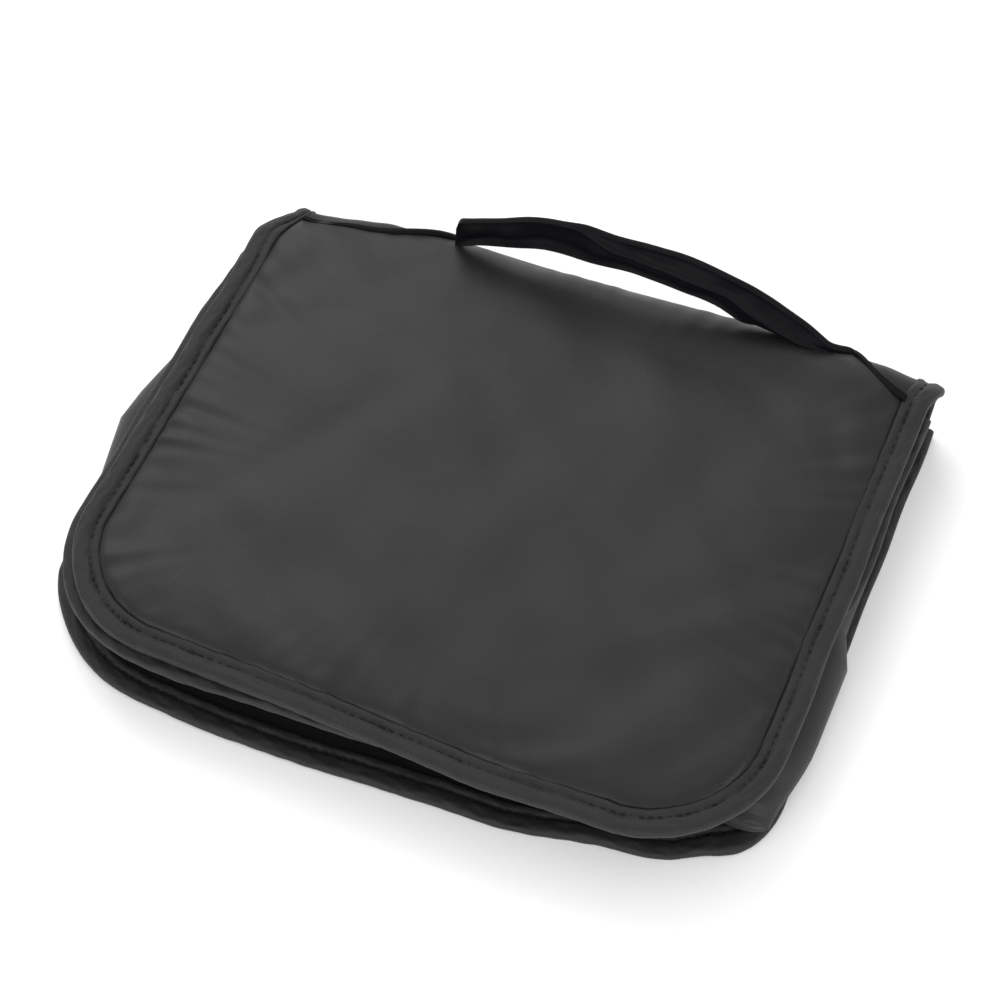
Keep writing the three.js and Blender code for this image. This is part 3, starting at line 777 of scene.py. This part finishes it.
def spine_cloth():
    """From the seam, over the back and down to the foot, behind the lower leaf."""
    rows, cols = 44, 161
    reach = SPINE_RUN - 1.4
    x = np.linspace(-CLOTH_HALF, CLOTH_HALF, cols)
    start = spine_run_at(seam_y(x)) - 1.0
    run = start + np.linspace(0, 1, rows)[:, None] * (reach - start)
    past_seam = run - start
    xs = np.broadcast_to(x, run.shape)
    y, z, ny, nz = spine_point(run, 0.9 + (seam_depth(x) - 0.65) * np.exp(-past_seam / 3))
    inside = np.minimum(CLOTH_HALF - np.abs(x), past_seam * 1.5)
    bulge = 0.7 * smooth(inside / 12)
    bulge += 0.45 * waves(xs, run * 2.2, 46, 61, 9) * smooth(inside / 8)
    bulge += 0.22 * waves(xs, run * 0.7, 13, 63, 9) * smooth(past_seam / 6)
    outer = np.stack([xs, y + ny * bulge, z + nz * bulge], -1)
    inner = np.stack([xs, y - ny * CLOTH, z - nz * CLOTH], -1)
    # the spine's cloth takes the darker copy of the nylon, painted shade
    cloth = thin_sheet("spine_cloth", cover_settle(outer), cover_settle(inner), NYLON_PAINTED_SHADE)
    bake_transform(cloth)
    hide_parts("spine_panel")


def spine_lining():
    """The lining inside the spine, from just past the fold to just above the lower leaf."""
    rows, cols = 44, 161
    x = np.linspace(-CLOTH_HALF, CLOTH_HALF, cols)
    run = np.broadcast_to(np.linspace(1, SPINE_RUN - 4.1, rows)[:, None], (rows, cols))
    xs = np.broadcast_to(x, run.shape)
    y, z, ny, nz = spine_point(run, 2.5)
    ripple = 0.12 * waves(xs, z * 1.5, 34, 67, 9)
    outer = np.stack([xs, y + ny * ripple, z + nz * ripple], -1)
    inner = np.stack([xs, y - ny * (0.4 - ripple), z - nz * (0.4 - ripple)], -1)
    lining = thin_sheet("spine_lining_cloth", cover_settle(outer), cover_settle(inner), LINING)
    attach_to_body(lining, "spine")
    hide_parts("spine_lining")


# ---- Flat leaves --------------------------------------------------------------------
def leaf_cloth(name, node_name, leaf, high, low, material, seed, relief, back=None):
    """A sewn panel inside a bound leaf, between two heights above the leaf's underside."""
    leaf_low, leaf_high, settle, body = leaf
    half = leaf_high[0] - INNER
    front = leaf_low[1] + INNER
    back = leaf_high[1] if back is None else back
    radius = CORNER_R - INNER
    grid = leaf_rows(half, front, back, radius, 91, 111, crowd=1.15)
    inside = rim_distance(grid, half, front, None, radius)
    x, y = grid[..., 0], grid[..., 1]
    wave = relief * (waves(x, y, 55, seed, 9) + 0.6 * waves(x, y, 24, seed + 1, 9)) * smooth(inside / 12)
    wave += relief * 0.5 * puckers(x, y, inside, seed + 2)
    top = np.stack([x, y, leaf_low[2] + high + wave], -1)
    under = np.stack([x, y, leaf_low[2] + low + wave], -1)
    cloth = thin_sheet(name, settle(top), settle(under), material)
    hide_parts(node_name)
    ride_leaf(cloth, body)


def flat_leaves():
    """The panels and linings inside the bindings, all but the flap's padded cloth."""
    flap = (FLAP_LOW, FLAP_HIGH, cover_settle, "flap")
    trap = (TRAP_LOW, TRAP_HIGH, trap_settle, "trap")
    base = (BACK_LOW, BACK_HIGH, base_settle, "base")
    leaf_cloth("flap_lining_cloth", "flap_lining", flap, 1.45, 0.95, LINING, 71, 0.12, FOLD_Y - 1)
    leaf_cloth("trap_cloth", "trap_panel", trap, 2.7, 2.2, NYLON, 81, 0.14, TRAP_BACK)
    leaf_cloth("trap_lining_cloth", "trap_lining", trap, 1.5, 1.0, LINING, 85, 0.14, TRAP_BACK)
    # the back panel takes the darker copy of the nylon, painted shade
    leaf_cloth("back_cloth", "back_panel", base, 1.7, 0.35, NYLON_PAINTED_SHADE, 91, 0.12)
    leaf_cloth("back_lining_cloth", "back_lining", base, 2.75, 2.3, LINING, 95, 0.12)


# ---- Chamber ------------------------------------------------------------------------
def ring_line(low, high, radius, step=2.5):
    """A closed line round the chamber, counter-clockwise from its left rear, with outward normals."""
    line, out, _ = leaf_edge(high[0], low[1], high[1], radius, step)
    back_x = np.linspace(high[0], low[0], int((high[0] - low[0]) / step))[1:-1]
    back = np.stack([back_x, np.full_like(back_x, high[1])], 1)
    line = np.concatenate([line, back])
    back_out = np.stack([0 * back_x, 0 * back_x + 1], 1)
    out = np.concatenate([out, back_out])
    return line, out


def soft_wall(name, node_name, radius, thick, slit, hole, bulge, seed, material):
    """A standing wall of cloth with a zip's slit in front and an armhole in each side.

    slit is its half width and half height. hole is its two ends in Y and its half height.
    """
    low, high = box_mm(node_name)
    line, out = ring_line(low, high, radius)
    levels = 23
    t = np.linspace(0, 1, levels)
    z = low[2] + t * (high[2] - low[2])
    x = line[:, None, 0] + 0 * z[None]
    y = line[:, None, 1] + 0 * z[None]
    zz = np.broadcast_to(z[None], x.shape)
    run = np.arange(len(line))[:, None] * 2.5
    swell = bulge * (4 * t * (1 - t))[None] * (0.7 + 0.3 * waves(run, 0 * x, 60, seed, 7))
    swell = swell + 0.35 * waves(run, zz * 2, 21, seed + 1, 9)
    swell = swell * np.minimum(1, 6 * np.minimum(t, 1 - t))[None]
    outer = np.stack([x + out[:, None, 0] * swell, y + out[:, None, 1] * swell, zz], -1)
    inner = outer - np.concatenate([out, np.zeros((len(out), 1))], 1)[:, None] * thick
    n, m = outer.shape[:2]
    points = np.concatenate([outer.reshape(-1, 3), inner.reshape(-1, 3)])
    mid = (low[2] + high[2]) / 2
    keep = np.ones((n, m - 1), bool)
    for i in range(n):
        j = (i + 1) % n
        cx, cy = (line[i] + line[j]) / 2
        zc = (z[1:] + z[:-1]) / 2
        if out[i][1] < -0.99:
            keep[i] &= ~((np.abs(zc - mid) < slit[1]) & (abs(cx) < slit[0]))
        if abs(out[i][0]) > 0.99:
            keep[i] &= ~((np.abs(zc - mid) < hole[2]) & (cy > hole[0]) & (cy < hole[1]))
    faces = []
    edge_use = {}
    for i in range(n):
        for k in range(m - 1):
            if keep[i, k]:
                a, b = i * m + k, ((i + 1) % n) * m + k
                faces.append([a, b, b + 1, a + 1])
                faces.append([a + 1 + n * m, b + 1 + n * m, b + n * m, a + n * m])
                for p, q in ((a, b), (b, b + 1), (b + 1, a + 1), (a + 1, a)):
                    key = (min(p, q), max(p, q))
                    edge_use[key] = edge_use.get(key, 0) + 1
    for (p, q), uses in edge_use.items():
        if uses == 1:
            faces.append([p, q, q + n * m, p + n * m])
    wall = outward(mesh_object(name, points, faces, material))
    loose_vertices_out(wall)
    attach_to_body(wall, "base")
    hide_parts(node_name)


def loose_vertices_out(made):
    """Deletes the vertices that no face uses."""
    bm = bmesh.new()
    bm.from_mesh(made.data)
    bmesh.ops.delete(bm, geom=[v for v in bm.verts if not v.link_faces], context="VERTS")
    bm.to_mesh(made.data)
    bm.free()


def chamber_deck(node_name, radius, thick, crown, seed, material):
    """The lid or floor of a bag: a rounded rectangle of slack cloth."""
    low, high = box_mm(node_name)
    half, front, back = high[0] - 0.2, low[1] + 0.2, high[1] - 0.2
    grid = leaf_rows(half, front, back, radius, 81, 91, crowd=1.0)
    inside = rim_distance(grid, half, front, back, radius)
    x, y = grid[..., 0], grid[..., 1]
    wave = crown * smooth(inside / 20) * (0.55 + 0.45 * waves(x, y, 50, seed, 9))
    wave = wave + abs(crown) * 0.3 * waves(x, y, 22, seed + 1, 9) * smooth(inside / 10)
    top = np.stack([x, y, low[2] + thick + wave], -1)
    under = np.stack([x, y, low[2] + wave], -1)
    deck = thin_sheet(f"{node_name}_cloth", top, under, material)
    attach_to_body(deck, "base")
    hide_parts(node_name)


def chamber_piping(name, z, seed):
    """A bound seam round the chamber's edge."""
    step = 2.0
    line, out = ring_line(CHAMBER_LOW, CHAMBER_HIGH, CHAMBER_R, step)
    run = np.arange(len(line)) * step
    turn = np.linspace(0, 2 * math.pi, 10, endpoint=False)
    tight = 0.85 + 0.12 * waves(run, 0 * run, 12, seed, 6)
    reach = 0.4 + tight[:, None] * np.cos(turn)[None]
    up = tight[:, None] * np.sin(turn)[None] * 0.55
    rings = np.stack([
        line[:, None, 0] + out[:, None, 0] * reach,
        line[:, None, 1] + out[:, None, 1] * reach,
        z + up,
    ], -1)
    piping = swept(name, rings, BINDING, run, path_closed=True)
    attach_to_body(piping, "base")


def chamber():
    zip_end = box_mm("outer_zip_upper_tape")[1][0]
    slit = (zip_end - 2, 1.4)
    hole = (-54.0, 38.0, 5.6)
    soft_wall("chamber_wall", "chamber_gusset", CHAMBER_R, 0.8, slit, hole, 0.9, 101, NYLON)
    soft_wall("liner_wall_cloth", "liner_wall", LINER_R, 0.5, slit, hole, 0.5, 111, LINING)
    chamber_deck("chamber_lid", CHAMBER_R, 0.55, 0.5, 121, NYLON)
    chamber_deck("chamber_floor", CHAMBER_R, 0.5, 0.1, 123, NYLON)
    chamber_deck("liner_floor", LINER_R, 0.4, 0.1, 125, LINING)
    chamber_deck("liner_lid", LINER_R, 0.4, -0.3, 127, LINING)
    chamber_piping("chamber_piping_top", CHAMBER_HIGH[2] + 0.1, 131)
    chamber_piping("chamber_piping_foot", CHAMBER_LOW[2] - 0.1, 133)


# ---- Zips ---------------------------------------------------------------------------
def zips():
    for prefix in ("outer_zip", "inner_zip"):
        for side in ("upper", "lower"):
            low, high = box_mm(f"{prefix}_{side}_tape")
            tape = box_strip(f"{prefix}_{side}_ribbon", low, high)
            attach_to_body(tape, "base")
            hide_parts(f"{prefix}_{side}_tape")
            low, high = box_mm(f"{prefix}_{side}_coil")
            coil = coil_teeth(f"{prefix}_{side}_teeth", low, high)
            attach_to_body(coil, "base")
            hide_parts(f"{prefix}_{side}_coil")
        for part in ("left_stop", "right_stop", "slider", "puller"):
            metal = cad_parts[f"{prefix}_{part}"]
            metal.data.materials.clear()
            metal.data.materials.append(METAL)


def box_strip(name, low, high):
    """A tape that runs along X, as a rounded strip with faint ripples."""
    x = np.linspace(low[0], high[0], 120)
    half_y, half_z = (high[1] - low[1]) / 2, (high[2] - low[2]) / 2
    turn = np.linspace(0, 2 * math.pi, 16, endpoint=False)
    ring_y = np.sign(np.cos(turn)) * np.abs(np.cos(turn)) ** 0.5 * half_y
    ring_z = np.sign(np.sin(turn)) * np.abs(np.sin(turn)) ** 0.35 * half_z
    ripple = 0.06 * waves(x, 0 * x, 18, 7, 6)
    rings = np.stack([
        np.broadcast_to(x[:, None], (len(x), 16)),
        (low[1] + high[1]) / 2 + ring_y[None] + ripple[:, None],
        (low[2] + high[2]) / 2 + np.broadcast_to(ring_z, (len(x), 16)),
    ], -1)
    return swept(name, rings, BINDING, x)


def coil_teeth(name, low, high, pitch=1.3):
    """A row of interlocking coil loops along X."""
    per = 8
    count = int((high[0] - low[0]) / pitch)
    s = np.linspace(0, count, count * per + 1)
    x = low[0] + s * pitch
    swell = 0.62 + 0.38 * np.abs(np.sin(math.pi * s)) ** 0.7
    turn = np.linspace(0, 2 * math.pi, 12, endpoint=False)
    half_y, half_z = (high[1] - low[1]) / 2, (high[2] - low[2]) / 2
    rings = np.stack([
        np.broadcast_to(x[:, None], (len(x), 12)),
        (low[1] + high[1]) / 2 + half_y * swell[:, None] * np.cos(turn)[None],
        (low[2] + high[2]) / 2 + half_z * (0.7 + 0.3 * swell[:, None]) * np.sin(turn)[None],
    ], -1)
    return swept(name, rings, COIL, x)


# ---- Sleeves ------------------------------------------------------------------------
def oval_ring(half, tall, count=84):
    """A flattened ring, as (y, z) offsets."""
    turn = np.linspace(0, 2 * math.pi, count, endpoint=False)
    y = np.sign(np.cos(turn)) * np.abs(np.cos(turn)) ** 0.5 * half
    z = np.sign(np.sin(turn)) * np.abs(np.sin(turn)) ** 0.75 * tall / 2
    return y, z, turn


def sleeve_settle(p):
    """The gathered cloth of both sleeves spills out further than its drawn cuffs."""
    x, y, z = p[..., 0], p[..., 1], p[..., 2]
    out = smooth((np.abs(x) - 82) / 26)
    right = x > 0
    ahead = np.where(right, 19, 13) * smooth((-8 - y) / 46)
    y = y + out * (np.where(right, 0, 8) * smooth((y - 8) / 30) - ahead)
    reach_left = 4.0 + 9.0 * bump_at(y, -9, 34) - 1.6 * smooth((-16 - y) / 3)
    reach_right = -1.5 + 4.6 * smooth((6 - y) / 14) - 4.5 * smooth((-38 - y) / 36)
    grow = np.where(right, reach_right, reach_left)
    x = x + np.sign(x) * grow * smooth((np.abs(x) - 100) / 22)
    return np.stack([x, y, z], -1)


def tube_solid(name, x, half, tall, wall, mid_y, mid_z, side, material, folds=None, settle=lie_still):
    """A soft open tube along X. folds adds gathers round it; arrays are one value per ring."""
    mid_z = mid_z + 0 * x
    rings_out, rings_in = [], []
    for i, xi in enumerate(x):
        wall_here = min(wall, 0.3 * tall[i])
        for rings, inset in ((rings_out, 0.0), (rings_in, wall_here)):
            y, z, turn = oval_ring(half[i] - inset, tall[i] - 2 * inset)
            if folds is not None:
                depth, count, phase = folds
                gather = depth[i] * np.sin(count * turn + phase + 0.8 * np.sin(3 * turn))
                z = z * (1 + gather / 8)
                y = y * (1 + gather / half[i])
            rings.append(np.stack([np.full_like(y, side * xi), mid_y + y, mid_z[i] + z], 1))
    rings_out = np.array(rings_out)
    rings_in = np.array(rings_in)
    n, m = rings_out.shape[:2]
    points = np.concatenate([rings_out.reshape(-1, 3), rings_in.reshape(-1, 3)])
    faces = quads(n, m, closed_cols=True) + quads(n, m, closed_cols=True, flip=True, start=n * m)
    for ring in (0, n - 1):
        for k in range(m):
            a, b = ring * m + k, ring * m + (k + 1) % m
            faces.append([a, b, b + n * m, a + n * m])
    lengths = np.repeat(x, m)
    uv = np.stack([np.tile(np.arange(m) * half.max() * 4 / m, n), lengths], 1)
    return outward(mesh_object(name, settle(points), faces, material, np.concatenate([uv, uv])))


def cuff_shape(t):
    """How tall a cuff is and how high its middle lies, from its inner end (0) to its mouth (1)."""
    tall = 1.0 + 14.6 * np.sqrt(np.maximum(1 - t**3.4, 0))
    return tall, 12.4 - 4.6 * t**2


def sleeves():
    mid_y = (CUFF_LOW[1] + CUFF_HIGH[1]) / 2
    mid_z = (CUFF_LOW[2] + CUFF_HIGH[2]) / 2
    for name, side in (("right", 1), ("left", -1)):
        collar_x = np.linspace(COLLAR_LOW[0], COLLAR_HIGH[0], 5)
        same = np.ones(5)
        collar = tube_solid(f"collar_{name}", collar_x, 55 * same, 15.2 * same, 1.0, mid_y, mid_z,
                            side, BINDING)
        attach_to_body(collar, "base")
        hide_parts(f"sleeve_collar_{name}")
        # the gathered sleeve: pleats between the collar and the cuff
        start, end = COLLAR_HIGH[0] - 0.8, CUFF_LOW[0] + 1.2
        pleats = 7
        t = np.linspace(0, 1, pleats * 10 + 1)
        wave = np.cos(2 * math.pi * pleats * t)
        uneven = 1 + 0.25 * np.sin(5.1 * t + side)
        half = 54 - 5 * t + 1.6 * wave * uneven
        tall = 14.0 + 0.6 * t + 1.2 * wave * uneven * (1 - 0.7 * t)
        folds = (0.25 + 0.35 * t, 17, 0.4 * side)
        sleeve = tube_solid(f"gathered_sleeve_{name}", start + t * (end - start), half, tall, 0.5,
                            mid_y, mid_z, side, NYLON, folds, sleeve_settle)
        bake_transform(sleeve)
        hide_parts(f"sleeve_{name}")
        # the cuff rolls round its elastic and is drawn nearly shut
        t = np.linspace(0, 1, 46) ** 0.8
        x = CUFF_LOW[0] + t * (CUFF_HIGH[0] - CUFF_LOW[0] + 1.2)
        tall, mid = cuff_shape(t)
        half = 49 - 4.5 * t**3
        depth = 0.3 + 0.25 * smooth((t - 0.25) / 0.3)
        cuff = tube_solid(f"gathered_cuff_{name}", x, half, tall, 0.8, mid_y, mid, side, NYLON,
                          (depth, 13, 1.1 * side), sleeve_settle)
        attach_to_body(cuff, f"{name}_cuff")
        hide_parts(f"cuff_{name}")
        t = np.linspace(0.25, 0.5, 8)
        x = CUFF_LOW[0] + t * (CUFF_HIGH[0] - CUFF_LOW[0])
        tall, mid = cuff_shape(t)
        band = tube_solid(f"elastic_band_{name}", x, 46.5 + 0 * t, tall - 3.6, 0.7, mid_y, mid, side,
                          ELASTIC, (0.2 + 0 * t, 13, 1.1 * side), sleeve_settle)
        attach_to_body(band, f"{name}_cuff")
        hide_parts(f"elastic_{name}")


# ---- Closure ------------------------------------------------------------------------
def closure():
    for node_name, body in (("closure_loop", "trap"), ("closure_hook", "flap")):
        low, high = box_mm(node_name)
        x = np.linspace(low[0], high[0], 60)
        y = np.linspace(low[1], high[1], 20)
        xx, yy = np.meshgrid(x, y, indexing="ij")
        edge = np.minimum(np.minimum(xx - low[0], high[0] - xx), np.minimum(yy - low[1], high[1] - yy))
        pile = 0.06 * waves(xx, yy, 3, 17, 12) - 0.12 * np.exp(-edge)
        top = np.stack([xx, yy, high[2] + pile], -1)
        under = np.stack([xx, yy, low[2] - pile], -1)
        pad = thin_sheet(f"{node_name}_pile", top, under, FUZZ)
        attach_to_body(pad, body)
        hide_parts(node_name)


# ---- Handle -------------------------------------------------------------------------
LOWER_EDGE = [(-53.3, 27.8), (-43.6, 32.2), (-33, 36.3), (-20.5, 40.1), (-4, 41.4), (12, 43.5),
              (32, 40.3), (43, 38.4), (51, 34.6), (60, 30.6), (70, 28.6), (80, 28.2), (87, 28.6),
              (92, 29.0)]
UPPER_EDGE = [(-52.6, 37.5), (-50.6, 43.2), (-46, 45.5), (-37, 49.8), (-24.5, 55.7), (-8, 58.6),
              (5, 57.2), (21, 56.7), (38, 55.2), (53.4, 52.3), (66, 44.9), (76, 39.6), (84, 34.2),
              (89, 31.0), (93, 29.6)]


def smooth_line(points, count):
    """A smooth line through chosen points, evenly spread."""
    p = np.array(points, float)
    t = np.concatenate([[0], np.cumsum(np.linalg.norm(np.diff(p, axis=0), axis=1))])
    t /= t[-1]
    m = np.gradient(p, t, axis=0)
    s = np.linspace(0, 1, count)
    i = np.clip(np.searchsorted(t, s) - 1, 0, len(t) - 2)
    h = t[i + 1] - t[i]
    u = ((s - t[i]) / h)[:, None]
    h = h[:, None]
    return ((2 * u**3 - 3 * u**2 + 1) * p[i] + (u**3 - 2 * u**2 + u) * h * m[i]
            + (-2 * u**3 + 3 * u**2) * p[i + 1] + (u**3 - u**2) * h * m[i + 1])


def handle():
    """A strap of folded cloth that stands on the seam, with rolled edges and a twist at its right."""
    count, across = 170, 29
    low = smooth_line(LOWER_EDGE, count)
    high = smooth_line(UPPER_EDGE, count)
    plane = (HANDLE_LOW[1] + HANDLE_HIGH[1]) / 2
    s = np.linspace(0, 1, count)[:, None]
    v = np.linspace(0, 1, across)[None]
    x = low[:, None, 0] * (1 - v) + high[:, None, 0] * v
    z = low[:, None, 1] * (1 - v) + high[:, None, 1] * v
    root = plane + (seam_y(x) + 0.8 * spine_puff(x) - plane) * smooth(x / 40)
    stand = smooth((z - 27) / 9)
    y = plane * stand + root * (1 - stand)
    free = smooth(np.minimum(s, 1 - s) / 0.06)
    fold = 0.97 - 0.42 * smooth((s - 0.28) / 0.22)
    y = y + 5.0 * np.clip(v - fold, 0, 1) - 1.3 * bump_at(v, fold, 0.07) * free
    y = y - 3.5 * smooth((s - 0.76) / 0.12) * (1 - v)
    middle = 4 * v * (1 - v)
    y = y + free * 0.5 * waves(s * 160, v * 9, 34, 201, 9)
    y = y + free * middle * 0.6 * waves(s * 160, v * 18, 22, 205, 9)
    y = y + free * middle * 0.3 * waves(s * 160, v * 16, 11, 203, 9)
    y = y + 0.8 * bump_at(v, 0.2 + 0.1 * np.sin(7 * s), 0.12) * free
    sheet = np.stack([x, y, z], -1)
    rim = bump_at(v, 0.0, 0.07) + 1.3 * bump_at(v, 1.0, 0.07) + 1.2 * bump_at(s, 0.0, 0.012)
    thick = 0.7 + 0.5 * np.minimum(rim, 1.4)
    thick = thick * np.clip(np.minimum(v, 1 - v) * 30 + 0.35, 0, 1)
    thick = thick * np.clip(s * 120 + 0.4, 0, 1) * np.clip((1 - s) * 25 + 0.2, 0, 1)
    push = np.stack([0 * x, thick, 0 * x], -1)
    # the strap's dark cloth carries painted shade for its shadowed face
    strap = thin_sheet("handle_strap", sheet + push, sheet - push, STRAP_PAINTED_SHADE)
    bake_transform(strap)
    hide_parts("handle_front_layer", "handle_back_layer")


def ridge(name, xs, node_names, seed):
    """The strap's tail: a low doubled fold that wanders along the seam to the binding."""
    x = np.linspace(*xs, 70)
    y = seam_y(x) + 0.5 * waves(x, 0 * x, 22, seed, 6)
    run = spine_run_at(np.minimum(y, BACK - 0.2))
    sy, sz, ny, nz = spine_point(run)
    tall = 2.3 + 0.5 * waves(x, 0 * x, 17, seed + 1, 6)
    tall = tall * np.interp(np.abs(x), sorted(abs(end) for end in xs), [1.0, 0.55])
    turn = np.linspace(0, 2 * math.pi, 22, endpoint=False)
    wide = 1.15
    rings = []
    for i in range(len(x)):
        a = np.cos(turn) * wide
        b = np.where(np.sin(turn) > 0, np.sin(turn) * tall[i], np.sin(turn) * 0.8)
        b = b - 0.7 * np.exp(-((a + 0.1) / 0.4) ** 2) * (np.sin(turn) > 0)
        rings.append(np.stack([
            np.full_like(a, x[i]),
            sy[i] + a * nz[i] + b * ny[i],
            sz[i] - a * ny[i] + b * nz[i],
        ], 1))
    rings = np.array(rings)
    # the strap's dark cloth also paints the shadow lines along the tail
    piece = swept(name, cover_settle(rings), STRAP_PAINTED_SHADE, x)
    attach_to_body(piece, "spine")
    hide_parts(*node_names)


def tails():
    ridge("tail_left", (-HALF + TAPE_WIDTH + 1, -49.0), ["handle_tail_left", "bar_tack_left"], 211)
    ridge("tail_right", (84.0, HALF - TAPE_WIDTH + 1), ["handle_tail_right", "bar_tack_right"], 221)


# ---- Room, lights and camera --------------------------------------------------------
VIEW_AZIMUTH = math.radians(22.4)
VIEW_ELEVATION = math.radians(55.1)
VIEW_AIM = Vector((-0.0012, 0.0068, 0.015))
VIEW_DISTANCE = 0.9033
VIEW_LENS = 98.46


def camera():
    data = bpy.data.cameras.new("camera")
    data.lens = VIEW_LENS
    data.sensor_width = 36
    made = bpy.data.objects.new("camera", data)
    bpy.context.scene.collection.objects.link(made)
    away = Vector((
        math.sin(VIEW_AZIMUTH) * math.cos(VIEW_ELEVATION),
        -math.cos(VIEW_AZIMUTH) * math.cos(VIEW_ELEVATION),
        math.sin(VIEW_ELEVATION),
    ))
    made.location = VIEW_AIM + away * VIEW_DISTANCE
    made.rotation_euler = away.to_track_quat("Z", "Y").to_euler()
    bpy.context.scene.camera = made


def soft_light(name, azimuth, elevation, distance, size, watts):
    data = bpy.data.lights.new(name, "AREA")
    data.shape = "RECTANGLE"
    data.size, data.size_y = size
    data.energy = watts
    made = bpy.data.objects.new(name, data)
    bpy.context.scene.collection.objects.link(made)
    a, e = math.radians(azimuth), math.radians(elevation)
    away = Vector((math.sin(a) * math.cos(e), math.cos(a) * math.cos(e), math.sin(e)))
    made.location = away * distance
    made.rotation_euler = away.to_track_quat("Z", "Y").to_euler()


FLOOR_HALF = 6000.0
FLOOR_DROP = 0.0002  # in metres, so that the floor and the underside don't coincide


def room():
    floor_material, tree, shader = principled("studio_floor", 0.9, specular=0.1)
    grain = noise(tree, 3.0, 2.0)
    tree.links.new(mixed_color(tree, grain.outputs["Fac"], (0.88, 0.88, 0.88), (0.90, 0.90, 0.90)),
                   shader.inputs["Base Color"])
    corners = np.array([[-1, -1, 0], [1, -1, 0], [1, 1, 0], [-1, 1, 0]]) * FLOOR_HALF
    floor = mesh_object("studio_floor", corners, [[0, 1, 2, 3]], floor_material, shade_smooth=False)
    floor.location.z = -FLOOR_DROP
    scene = bpy.context.scene
    scene.view_settings.view_transform = "Standard"
    world = bpy.data.worlds.new("world")
    scene.world = world
    world.use_nodes = True
    background = world.node_tree.nodes["Background"]
    background.inputs["Color"].default_value = (1, 1, 1, 1)
    background.inputs["Strength"].default_value = 1.05
    soft_light("softbox_back_left", -38, 45, 1.5, (1.0, 0.9), 11)
    soft_light("softbox_front", 200, 14, 1.6, (1.5, 0.5), 15)
    soft_light("softbox_right", 108, 16, 1.6, (1.2, 0.5), 9)


camera()
room()
cover_bindings()
cover_cloth()
spine_cloth()
spine_lining()
leaf_binding("trap_tape", "trap_binding", TRAP_LOW, TRAP_HIGH, "trap", trap_settle, 15,
             TRAP_HIGH[2] - TRAP_LOW[2], TRAP_BACK)
leaf_binding("back_tape", "back_binding", BACK_LOW, BACK_HIGH, "base", base_settle, 25, LEAF)
flat_leaves()
chamber()
zips()
sleeves()
closure()
handle()
tails()
